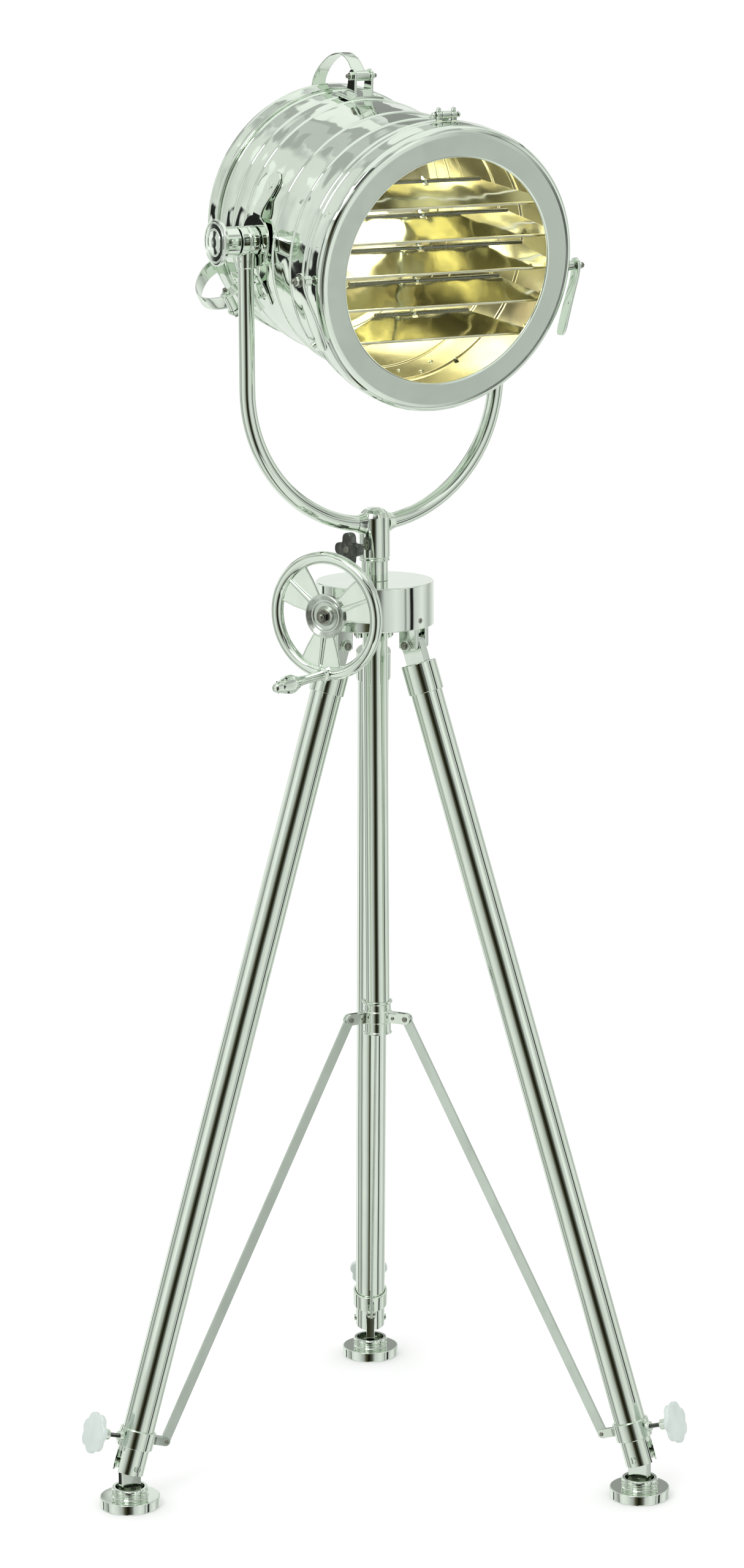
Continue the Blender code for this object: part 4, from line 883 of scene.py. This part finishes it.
def makeCover():
    v, back = cover, cover["back"]
    dome = shifted([(0.0125, -0.0315), (0.0240, -0.0315), (0.045, -0.0283), (0.066, -0.0225),
                    (0.084, -0.0182), (0.100, -0.013), (0.114, -0.0085), (0.126, -0.0045)], 0, back)
    inside = [(radius, z + v["wall"]) for radius, z in reversed(dome)]
    rim, front = v["rim"], v["front"]
    shoulder = shifted([(-0.0030, -0.0012), (-0.0004, 0.0012), (0, 0.0040), (-0.0008, 0.0052)], rim, back)
    edge = shifted([(0, 0), (v["lip"] - rim, 0), (v["lip"] - rim, -0.0016), (-0.0032, -0.0026),
                    (-0.0025, -0.0050)], rim, front)
    profile = dome + [(0.1335, back - 0.0022)] + shoulder + [(rim - 0.0008, -0.1005), (rim, -0.0990)]
    profile += edge + [(rim - 0.0025, back + v["wall"])] + inside
    shell = lathed(profile, 192, True, 0.0009)
    # hidden inner faces take the second finish, whose colour holds painted warm bulb light
    for face in shell.faces:
        middle = face.calc_center_median()
        outwardRadius = Vector((middle.x, middle.y, 0)).normalized()
        hidden = math.hypot(middle.x, middle.y) < rim - 0.002 and middle.z < front - 0.012
        if hidden and (face.normal.z > 0.2 or face.normal.dot(outwardRadius) < -0.5):
            face.material_index = 1
    parts = [(shell, ("nickelSheet", "goldInside"))]
    for angle in clampAngles.values():
        catch = block((0.1180, 0.1235), (-0.008, 0.008), (back - 0.0328, back - 0.004), 0.0012)
        parts.append((placed(catch, turn(angle, "Z")), "nickelTube"))
    for i in range(16):
        vent = lathed([(0, back - 0.0165), (0.0026, back - 0.0165), (0.0022, back - 0.0178),
                       (0, back - 0.0181)], 16, ease=0.0003)
        parts.append((placed(vent, turn(22.5 * i, "Z") @ at(0.0865)), "steelRod"))
    badge = shifted([(0.026, -0.0300), (0.0345, -0.0290), (0.0352, -0.0306), (0.0335, -0.0322),
                     (0.0275, -0.0330), (0.026, -0.0322)], 0, back)
    badge = lathed(badge, 96, True, 0.0006)
    parts.append((badge, "nickelTube"))
    finished("rearCover", parts, "head", "rear_cover", onHead, 30)

    end = back - 0.0315
    neck = shifted([(0.004, -0.010), (0.0150, -0.010), (0.0165, -0.0085), (0.0165, -0.0062),
                    (0.0158, -0.0056), (0.0158, -0.0040), (0.0165, -0.0034), (0.0165, -0.0003),
                    (0.0120, -0.0003), (0.0120, 0.0022), (0.0210, 0.0022)], 0, end)
    barrel = [(0.0210, -0.120), (0.0196, -0.118), (0.0196, -0.112), (0.0210, -0.110), (0.0210, -0.075),
              (0.0150, -0.075), (0.0150, -0.100), (0.004, -0.100)]
    holder = lathed(neck + barrel, 56, True, 0.0005)
    finished("lampHolder", [(holder, "socketPlastic")], "head", "lamp_holder", onHead)
    glass = lathed([(0, -0.0985), (0.0132, -0.0985), (0.0135, -0.0700), (0.0140, -0.0640),
                    (0.0170, -0.0540), (0.0240, -0.0360), (0.0282, -0.0220), (0.0299, -0.0080),
                    (0.0296, 0.0020), (0.0270, 0.0110), (0.0222, 0.0182), (0.0150, 0.0235),
                    (0.0072, 0.0259), (0, 0.0265)], 72, ease=0.004)
    screwCap = lathed([(0.0136, -0.0746), (0.0141, -0.0740), (0.0141, -0.0700), (0.0136, -0.0690)], 48,
                      True, 0.0002)
    finished("lampBulb", [(glass, "bulbGlass"), (screwCap, "steelRod")], "head", "bulb",
             onHead)
    gland = lathed([(0.0035, 0.1415), (0.0088, 0.1415), (0.0088, 0.1444), (0.0078, 0.1452), (0.0078, 0.1470),
                    (0.0066, 0.1478), (0.0060, 0.1542), (0.0035, 0.1542)], 40, True, 0.0005)
    finished("cordGland", [(gland, "blackSteel")], "head", "cord_gland",
             onHead @ at(z=-0.078) @ turn(90, "X"))


bracket = {"skin": 0.1427, "thick": 0.003, "stud": 0.006, "gap": 0.0013, "half": 0.0744, "lobe": 0.026,
           "screws": ((0.0600, 0.0), (-0.0030, 0.0205), (-0.0600, 0.0))}


def makeBracket(side, name):
    v = bracket
    half, lobe, flat, skin = v["half"], v["lobe"], v["skin"] + v["gap"], v["skin"]
    stations, section = [], [(-1, -0.5), (1, -0.5), (1, 0.5), (-1, 0.5)]
    for i in range(-36, 37):
        y = i * half / 36
        rest = math.sqrt(skin ** 2 - y ** 2)
        mixIn = min(max((abs(y) - lobe) / lobe, 0), 1)
        mixIn = mixIn * mixIn * (3 - 2 * mixIn)
        x = flat + (rest - flat) * mixIn + v["thick"] / 2
        bulge = max(0, 1 - (y / lobe) ** 2) ** 0.5
        footing = max(0, 1 - ((abs(y) / half - 0.83) / 0.2) ** 2)
        tip = max(0.12, min(1, (half - abs(y)) / 0.005)) ** 0.5
        wide = (0.0085 + 0.0205 * bulge + 0.003 * footing) * tip
        stations.append(at(side * x, y, 0) @ turn(-90, "X") @ turn(90, "Z")
                        @ Matrix.Diagonal((wide, v["thick"] * side, 1, 1)))
    band = softened(swept(section, stations), 0.0007, 2, 50)
    stud = placed(rod(v["stud"], skin + 0.0025, 0.1885, 40), turn(90 * side, "Y"))
    shoulder = placed(lathed([(0, skin + 0.0020), (0.0125, skin + 0.0020), (0.0110, 0.1478), (0, 0.1478)],
                             48, ease=0.0008), turn(90 * side, "Y"))
    parts = [(band, "nickelTube"), (stud, "steelRod"), (shoulder, "nickelTube")]
    for y, z in v["screws"]:
        if abs(y) < lobe:
            x, lean = flat + v["thick"] - 0.0004, 0
        else:
            x = math.sqrt(skin ** 2 - y ** 2) + v["thick"] - 0.0006
            lean = math.degrees(math.asin(y / skin)) * side
        spot = at(side * x, y, z) @ turn(lean, "Z") @ turn(90 * side, "Y") @ turn(35, "Z")
        parts += [(placed(part, spot), "nickelHub") for part in slotted(0.0044, 0.0, 0.0013, 0.15)]
    finished("yokeBracket-" + name, parts, "head", "side_bracket_" + name, onHead)


clamp = {"forward": -0.052, "pin": 0.165, "wide": 0.0175, "thick": 0.003, "skin": 0.1427, "earThick": 0.0028,
         "arch": ((-0.060, 0.1700), (-0.074, 0.1790), (-0.092, 0.1815), (-0.112, 0.1750),
                  (-0.130, 0.1620), (-0.143, 0.1460), (-0.1465, 0.1300))}


def smoothPath(points, cuts=5):
    # a Catmull-Rom line through the points
    dots = [Vector(p) for p in points]
    line = []
    for i in range(len(dots) - 1):
        a, b, c, d = dots[max(i - 1, 0)], dots[i], dots[i + 1], dots[min(i + 2, len(dots) - 1)]
        for k in range(cuts):
            t = k / cuts
            line.append(0.5 * (2 * b + (c - a) * t + (2 * a - 5 * b + 4 * c - d) * t * t
                               + (3 * b - a - 3 * c + d) * t ** 3))
    return line + [dots[-1]]


def makeClamp(name, angle):
    v = clamp
    wide, base = v["wide"] / 2 + 0.0003, v["skin"]
    spread = math.degrees(0.0215 / base)
    saddle = plate(arc(0, 0, base, -spread, spread, 18) + arc(0, 0, base + 0.0032, spread, -spread, 18),
                   v["forward"] - 0.0165, v["forward"] + 0.0165, 0, 0.0008)
    parts = [(saddle, "nickelTube")]
    nutLow = wide + v["earThick"]
    for s in (-1, 1):
        low, high = sorted((s * wide, s * nutLow))
        flank = shifted([(0.0008, -0.0125), (0.0055, -0.0090), (v["pin"] - 0.004 - base, -0.0075)], base, 0)
        outline = flank + arc(v["pin"], 0, 0.0075, -75, 75, 14) + [(x, -z) for x, z in reversed(flank)]
        ear = placed(plate(outline, -high, -low, 0, 0.0005), at(z=v["forward"]) @ turn(90, "X"))
        spot = at(v["pin"], 0, v["forward"]) @ turn(-90 * s, "X")
        parts += [(ear, "nickelTube"),
                  (placed(hexNut(0.0046, nutLow - 0.0004, nutLow + 0.0034), spot), "nickelTube"),
                  (placed(acorn(0.0026, nutLow + 0.0030, nutLow + 0.0070), spot), "steelRod")]
        for z in (-0.0125, 0.0125):
            out = turn(s * spread * 0.62, "Z") @ at(z=v["forward"] + z) @ alongX
            parts.append((placed(acorn(0.0019, base + 0.0028, base + 0.0042), out), "nickelTube"))
    bolt = placed(rod(0.0022, -wide - 0.0095, wide + 0.0095, 24), at(v["pin"], 0, v["forward"]) @ alongY)
    parts.append((bolt, "steelRod"))
    finished("clampBase-" + name, parts, "head", "clamp_base_" + name,
             onHead @ turn(angle, "Z"))

    path = smoothPath([(0, 0, 0)] + [(r - v["pin"], 0, z - v["forward"]) for z, r in v["arch"]])
    half = v["wide"] / 2
    t = v["thick"] / 2
    section = [(-half, -t * 0.7), (half, -t * 0.7), (half, t * 0.55), (half * 0.55, t), (-half * 0.55, t),
               (-half, t * 0.55)]
    sizes = [(1 - 0.16 * math.sin(math.pi * i / (len(path) - 1)), 1) for i in range(len(path))]
    band = softened(swept(section, stationsAlong(path, sizes=sizes)), 0.0006, 2, 25)
    eye = placed(hoop(0.0023, 0.0055, -half, half, 40, 0.0007), alongY)
    endR, endZ = v["arch"][-1][1] - v["pin"], v["arch"][-1][0] - v["forward"]
    hook = block((endR - 0.0034, endR + 0.001), (-half + 0.0004, half - 0.0004), (endZ - t, endZ + 0.010),
                 0.0010)
    parts = [(band, "nickelTube"), (eye, "nickelTube"), (hook, "nickelTube")]
    finished("clampStrap-" + name, parts, "clamp_strap_" + name, "clamp_strap_" + name,
             onHead @ turn(angle, "Z") @ at(v["pin"], 0, v["forward"]))


makeDrum()
makeCover()
makeBracket(-1, "left")
makeBracket(1, "right")
for clampName, clampAngle in clampAngles.items():
    makeClamp(clampName, clampAngle)
print("head made")


# the door: bezel, slats, levers and their link

bezel = {"back": 0.1340, "face": 0.1662, "radius": 0.157, "wall": 0.0035, "opening": 0.1236}


def makeBezel():
    v = bezel
    radius, face, inner = v["radius"], v["face"], v["radius"] - v["wall"]
    side = [(inner, v["back"]), (radius - 0.0006, v["back"]), (radius, v["back"] + 0.0010),
            (radius, v["back"] + 0.0030), (radius - 0.0010, v["back"] + 0.0042),
            (radius - 0.0010, v["back"] + 0.0060), (radius, v["back"] + 0.0072), (radius, face - 0.0105)]
    shoulder = [(radius + 0.005 * (math.cos(a) - 1) - 0.004 * (1 - math.cos(a)),
              face - 0.0090 * (1 - math.sin(a))) for a in (0.15, 0.4, 0.7, 1.0, 1.25)]
    front = [(radius - 0.0098, face), (v["opening"] + 0.0022, face),
             (v["opening"] + 0.0007, face - 0.0004), (v["opening"], face - 0.0013),
             (v["opening"] + 0.0002, face - 0.0025), (inner - 0.001, face - 0.0035), (inner, face - 0.006)]
    shell = lathed(side + shoulder + front, 224, True, 0.0005)
    # inner and rear faces take the second finish, whose colour holds painted warm bulb light; the flat front
    # face takes the third
    for piece in shell.faces:
        middle = piece.calc_center_median()
        flat = Vector((middle.x, middle.y, 0))
        toAxis = piece.normal.dot(flat.normalized()) < -0.4 and flat.length > v["opening"] + 0.01
        if piece.normal.z > 0.9 and flat.length > v["opening"]:
            piece.material_index = 2
        elif toAxis or (piece.normal.z < -0.4 and middle.z > v["back"] + 0.002):
            piece.material_index = 1
    parts = [(shell, ("nickelSheet", "goldInside", "nickelFace"))]
    pinY, pinZ = hingePin
    hinge = at(0, pinY, pinZ)
    for s in (-1, 1):
        low, high = sorted((s * 0.0058, s * 0.0125))
        parts.append((placed(hoop(0.0020, 0.0042, low, high, 32, 0.0006), hinge @ alongX), "nickelTube"))
        parts.append((block((low + 0.0002, high - 0.0002), (radius - 0.003, pinY + 0.0005),
                            (pinZ + 0.0008, pinZ + 0.0037), 0.0004), "nickelTube"))
        stub = lathed([(0, 0.0036), (0.0026, 0.0036), (0.0030, 0.0050), (0.0022, 0.0064), (0.0026, 0.0076),
                       (0, 0.0084)], 24, ease=0.0006)
        parts.append((placed(stub, hinge @ at((low + high) / 2) @ turn(-90, "X")), "nickelTube"))
    for i in range(5):
        y = slats["middle"] + (2 - i) * slats["pitch"]
        for s in (-1, 1):
            x = math.sqrt(radius ** 2 - y ** 2)
            if i != 2:
                out = at(s * (x - 0.0010), y, slats["forward"]) @ turn(90 * s, "Y")
                parts.append((placed(acorn(0.0021, 0.0, 0.0019), out), "nickelTube"))
    finished("doorBezel", parts, "door", "bezel", onHead, 30)
    latch = [(block((0.1560, 0.1586), (-0.0075, 0.0075), (0.1180, 0.1330), 0.0007), "nickelTube")]
    latch.append((placed(rod(0.0036, 0.1575, 0.1618, 28, 0.0008), at(z=0.1256) @ alongX), "nickelTube"))
    finished("doorLatch", latch, "head", None, onHead @ turn(212, "Z"))


slats = {"pitch": 0.0363, "width": 0.0375, "angle": 34, "forward": 0.150, "middle": -0.006, "bead": 0.0016,
         "thick": 0.0012, "rod": 0.0027, "linkX": -0.0105,
         "backHalves": (0.0565, 0.0948, 0.117, 0.0918, 0.0565)}
lever = {"x": 0.171, "inward": 0.0228, "angle": 16, "half": 0.008, "thick": 0.003}


def makeSlat(i):
    v = slats
    y = v["middle"] + (2 - i) * v["pitch"]
    middle = i == 2
    inner = bezel["radius"] - bezel["wall"]
    frontHalf = math.sqrt(inner ** 2 - (abs(y) + 0.002) ** 2) - 0.0012
    backHalf, depth, link = v["backHalves"][i], v["width"] - 0.0065, v["linkX"]
    outline = [(-frontHalf, 0), (-backHalf, -v["width"]), (link - 0.0035, -v["width"]),
               (link - 0.0035, -depth), (link + 0.0035, -depth), (link + 0.0035, -v["width"]),
               (backHalf, -v["width"]), (frontHalf, 0)]
    blade = placed(plate(outline, -v["thick"] / 2, v["thick"] / 2, 0, 0.00025), turn(90, "X"))
    hem = placed(rod(v["bead"], -frontHalf, frontHalf, 24, 0.0006), alongX)
    parts = [(blade, "goldSlat"), (hem, "goldSlat")]
    for low, high in ((-backHalf - 0.002, link - 0.0032), (link + 0.0032, backHalf + 0.002)):
        parts.append((placed(rod(v["rod"], low, high, 32, 0.0012), at(z=-v["width"]) @ alongX), "steelRod"))
    parts.append((placed(rod(v["bead"], link - 0.004, link + 0.004, 24), at(z=-v["width"]) @ alongX),
                  "steelRod"))
    for s in (-1, 1):
        rib = block(sorted((s * (frontHalf - 0.012), s * (frontHalf - 0.0105))), (-0.0014, 0.0014),
                    (-0.012, -0.001), 0.0002)
        parts.append((rib, "goldSlat"))
        reach = lever["x"] + 0.0080 if middle else frontHalf + 0.0042
        low, high = sorted((s * (frontHalf - 0.003), s * reach))
        parts.append((placed(rod(0.003 if middle else 0.0014, low, high, 32), alongX), "steelRod"))
        if middle:
            spot = turn(90 * s, "Y")
            parts.append((placed(hexNut(0.0052, lever["x"] + 0.0022, lever["x"] + 0.0058), spot),
                          "nickelTube"))
            parts.append((placed(acorn(0.0034, lever["x"] + 0.0054, lever["x"] + 0.0112), spot), "steelRod"))
            spacer = lathed([(0.0031, 0.1592), (0.0056, 0.1592), (0.0050, 0.1672), (0.0031, 0.1672)],
                            32, True, 0.0006)
            parts.append((placed(spacer, spot), "nickelTube"))
    onSlat = onHead @ at(0, y, v["forward"]) @ turn(v["angle"], "X")
    name = "slat_" + str(i + 1)
    finished("louvreSlat-" + str(i + 1), parts, name, name, onSlat)
    if middle:
        for s, sideName in ((-1, "left"), (1, "right")):
            makeLever(s, sideName, onSlat)


def makeLever(side, name, onSlat):
    v = lever
    path, sizes = [], []
    bends = ((-0.0085, 0, 0.30), (-0.0070, 0, 0.72), (-0.0045, 0, 0.95), (-0.001, 0, 1),
             (0.006, 0.0002, 0.97), (0.012, 0.0016, 0.94), (0.020, 0.0045, 0.93), (0.030, 0.0083, 0.95),
             (0.040, 0.0122, 1), (0.055, 0.0176, 1.04), (0.066, 0.0214, 1.04), (0.0715, 0.0234, 0.92),
             (0.0740, 0.0243, 0.62), (0.0747, 0.0246, 0.30))
    for s, xIn, size in bends:
        path.append((side * (v["x"] - xIn * v["inward"] / 0.0234), -s, 0))
        sizes.append((size, 1))
    section = [(-v["half"], -v["thick"] / 2), (v["half"], -v["thick"] / 2), (v["half"], v["thick"] / 2),
               (-v["half"], v["thick"] / 2)]
    strap = softened(swept(section, stationsAlong(path, Vector((0, 0, 1)), sizes)), 0.0006, 2, 50)
    washer = placed(hoop(0.0031, 0.0066, v["x"] + 0.0012, v["x"] + 0.0023, 32, 0.0003), turn(90 * side, "Y"))
    node = "louvre_lever_" + name
    finished("louvreLever-" + name, [(strap, "nickelTube"), (washer, "steelRod")], "slat_3", node,
             onSlat @ turn(-slats["angle"] - v["angle"], "X"))


def makeLink():
    v = slats
    lean = math.radians(v["angle"])
    rodY, rodZ = v["middle"] + v["width"] * math.sin(lean), v["forward"] - v["width"] * math.cos(lean)
    eye, front = 0.0036, -0.0022
    start = math.degrees(math.asin(front / eye))
    half = v["pitch"] * 2 + eye + 0.001
    outline = [(half, front), (half, -0.0062), (-half, -0.0062), (-half, front)]
    for i in range(5):
        outline += arc((i - 2) * v["pitch"], 0, eye, 180 - start, start, 20)
    bar = placed(plate(outline, v["linkX"] - 0.0008, v["linkX"] + 0.0008, 0, 0.0002), turn(90, "X")
                 @ turn(90, "Y"))
    parts = [(bar, "nickelTube")]
    for i in range(5):
        clip = hoop(0.0017, 0.0032, -0.0017, 0.0017, 24, 0.0004)
        parts.append((placed(clip, at(v["linkX"], (i - 2) * v["pitch"]) @ alongX), "nickelTube"))
    finished("louvreLink", parts, "louvre_link", "louvre_link", onHead @ at(0, rodY, rodZ))


makeBezel()
for slatIndex in range(5):
    makeSlat(slatIndex)
makeLink()
print("door made")


# floor, light and camera

studio = {"floorRadius": 90.0, "backdrop": (0.985, 0.99, 0.985),
          # the walls' tone by azimuth in degrees, 0 at the camera's side
          "walls": ((-180, 0.90), (-150, 0.90), (-131, 1.00), (-116, 0.74), (-100, 0.50), (-92, 0.36),
                    (-89, 0.08), (-86, 0.74), (-70, 0.92), (-50, 0.78), (-30, 0.44),
                    (-20, (0.085, 0.082, 0.046)), (-8, 0.004), (1, (0.040, 0.041, 0.020)), (9, 0.17),
                    (17, 0.66), (40, 0.88), (57, 0.70), (60, 0.20), (64, 0.74), (69, 0.62), (72, 0.008),
                    (78, 0.008), (81, 0.66), (104, 0.90), (128, 0.50), (150, 0.84), (180, 0.90)),
          # boards round the room: azimuth and width in degrees, lowest and highest slope, tone
          "cards": ((-152, 50, 0.31, 0.38, 0.05), (154, 50, 0.31, 0.38, 0.05), (0, 60, 0.44, 0.60, 0.10),
                    (-123, 6, -0.55, 0.05, 0.02), (-132, 8, 0.16, 0.50, 1.05), (-150, 16, 0.20, 0.46, 0.20),
                    (-150, 12, 0.52, 0.74, 0.62), (-168, 10, 0.30, 0.66, 1.00), (176, 8, 0.26, 0.60, 0.34),
                    (162, 12, 0.30, 0.52, 0.95), (-60, 14, 0.12, 0.50, 1.00), (38, 12, 0.10, 0.60, 1.00),
                    (12, 5, 0.15, 0.60, 0.10), (27, 70, -0.95, -0.55, 0.88)),
          "cardEdge": (0.004, 0.012), "softbox": (-1.6, -2.6, 3.4), "softboxAim": (0, 0, 1.2),
          "camera": (-0.1631, -4.9023, 1.8055), "yaw": 1.886, "pitch": 11.874, "roll": -0.366,
          "lens": 100.18}


def grey(tone):
    # a neutral tone with a trace of green, or a colour as it is
    return tone if isinstance(tone, tuple) else (tone * 0.97, tone, tone * 0.96)


def makeStudio():
    ground = bmesh.new()
    bmesh.ops.create_circle(ground, cap_ends=True, segments=96, radius=studio["floorRadius"])
    mesh = meshOf("studioFloor", ground)
    mesh.materials.append(finishes["floorPaint"])
    floor = added("studioFloor", mesh)
    floor.visible_glossy = False  # the metal reflects the studio's walls instead

    world = bpy.data.worlds.new("studioWalls")
    bpy.context.scene.world = world
    world.use_nodes = True
    tree = world.node_tree
    tree.nodes.clear()
    way = Reading(tree, None).add("ShaderNodeTexCoord", out="Generated")
    split = tree.nodes.new("ShaderNodeSeparateXYZ")
    tree.links.new(way.socket, split.inputs[0])
    x, y, z = (Reading(tree, split.outputs[i]) for i in range(3))
    bearing = x.sum("ARCTAN2", x, y * -1.0) * (0.5 / math.pi) + 0.5  # 0.5 is the camera's side
    stops = [((azimuth + 180) / 360, grey(tone)) for azimuth, tone in studio["walls"]]
    bands = bearing.add("ShaderNodeValToRGB", {"stops": stops}, {"Fac": bearing})
    patches = way.scaled((1, 1, 0.6)).noise(2.6, 1, 0.5, 0.3).steps(0.44, 0.56)
    cloudy = (patches * 0.7).between(rgb(*grey(0.84)), rgb(*grey(0.34)))
    reflected = z.steps(0.30, 0.42).between(bands, cloudy)
    edgeAcross, edgeUp = studio["cardEdge"]
    for azimuth, width, low, high, tone in studio["cards"]:
        first, last = (azimuth + 180) / 360 - width / 720, (azimuth + 180) / 360 + width / 720
        across = bearing.steps(first - edgeAcross, first) * (1.0 - bearing.steps(last, last + edgeAcross))
        along = z.steps(low - edgeUp, low + edgeUp) * (1.0 - z.steps(high - edgeUp, high + edgeUp))
        reflected = (across * along).between(reflected, rgb(*grey(tone)))
    reflected = z.steps(0.72, 0.80).between(reflected, rgb(*grey(1.0)))
    ray = Reading(tree, None).add("ShaderNodeLightPath", out="Is Glossy Ray")
    seen = Reading(tree, None).add("ShaderNodeLightPath", out="Is Camera Ray")
    soft = seen.between(rgb(1.12, 1.12, 1.12), rgb(*studio["backdrop"]))
    shown = ray.between(soft, reflected)
    surface = shown.add("ShaderNodeBackground", {}, {"Color": shown, "Strength": 1.0})
    shown.add("ShaderNodeOutputWorld", {}, {"Surface": surface})

    softbox = bpy.data.lights.new("softbox", "AREA")
    softbox.shape, softbox.size, softbox.size_y, softbox.energy = "RECTANGLE", 1.6, 1.2, 26
    box = added("softbox", softbox)
    box.location = studio["softbox"]
    aim = Vector(studio["softboxAim"]) - box.location
    box.rotation_euler = aim.to_track_quat("-Z", "Y").to_euler()

    glow = bpy.data.lights.new("drumGlow", "POINT")
    glow.energy, glow.shadow_soft_size, glow.color = 0.36, 0.05, (1.0, 0.98, 0.90)
    added("drumGlow", glow).location = onHead @ Vector((-0.03, 0.06, 0.06))

    yaw, pitch, roll = (math.radians(studio[k]) for k in ("yaw", "pitch", "roll"))
    ahead = Vector((math.sin(yaw) * math.cos(pitch), math.cos(yaw) * math.cos(pitch), -math.sin(pitch)))
    right = Vector((math.cos(yaw), -math.sin(yaw), 0))
    up = right.cross(ahead)
    rightTurned = math.cos(roll) * right + math.sin(roll) * up
    upTurned = -math.sin(roll) * right + math.cos(roll) * up
    lens = bpy.data.cameras.new("studioCamera")
    lens.lens, lens.sensor_width, lens.sensor_fit = studio["lens"], 36, "AUTO"
    lens.clip_start, lens.clip_end = 0.05, 300
    lens.dof.use_dof = False
    camera = added("studioCamera", lens)
    camera.matrix_world = (Matrix.Translation(studio["camera"])
                           @ Matrix((rightTurned, upTurned, -ahead)).transposed().to_4x4())
    bpy.context.scene.camera = camera
    bpy.context.scene.view_settings.view_transform = "Standard"


makeStudio()
print("studio made")
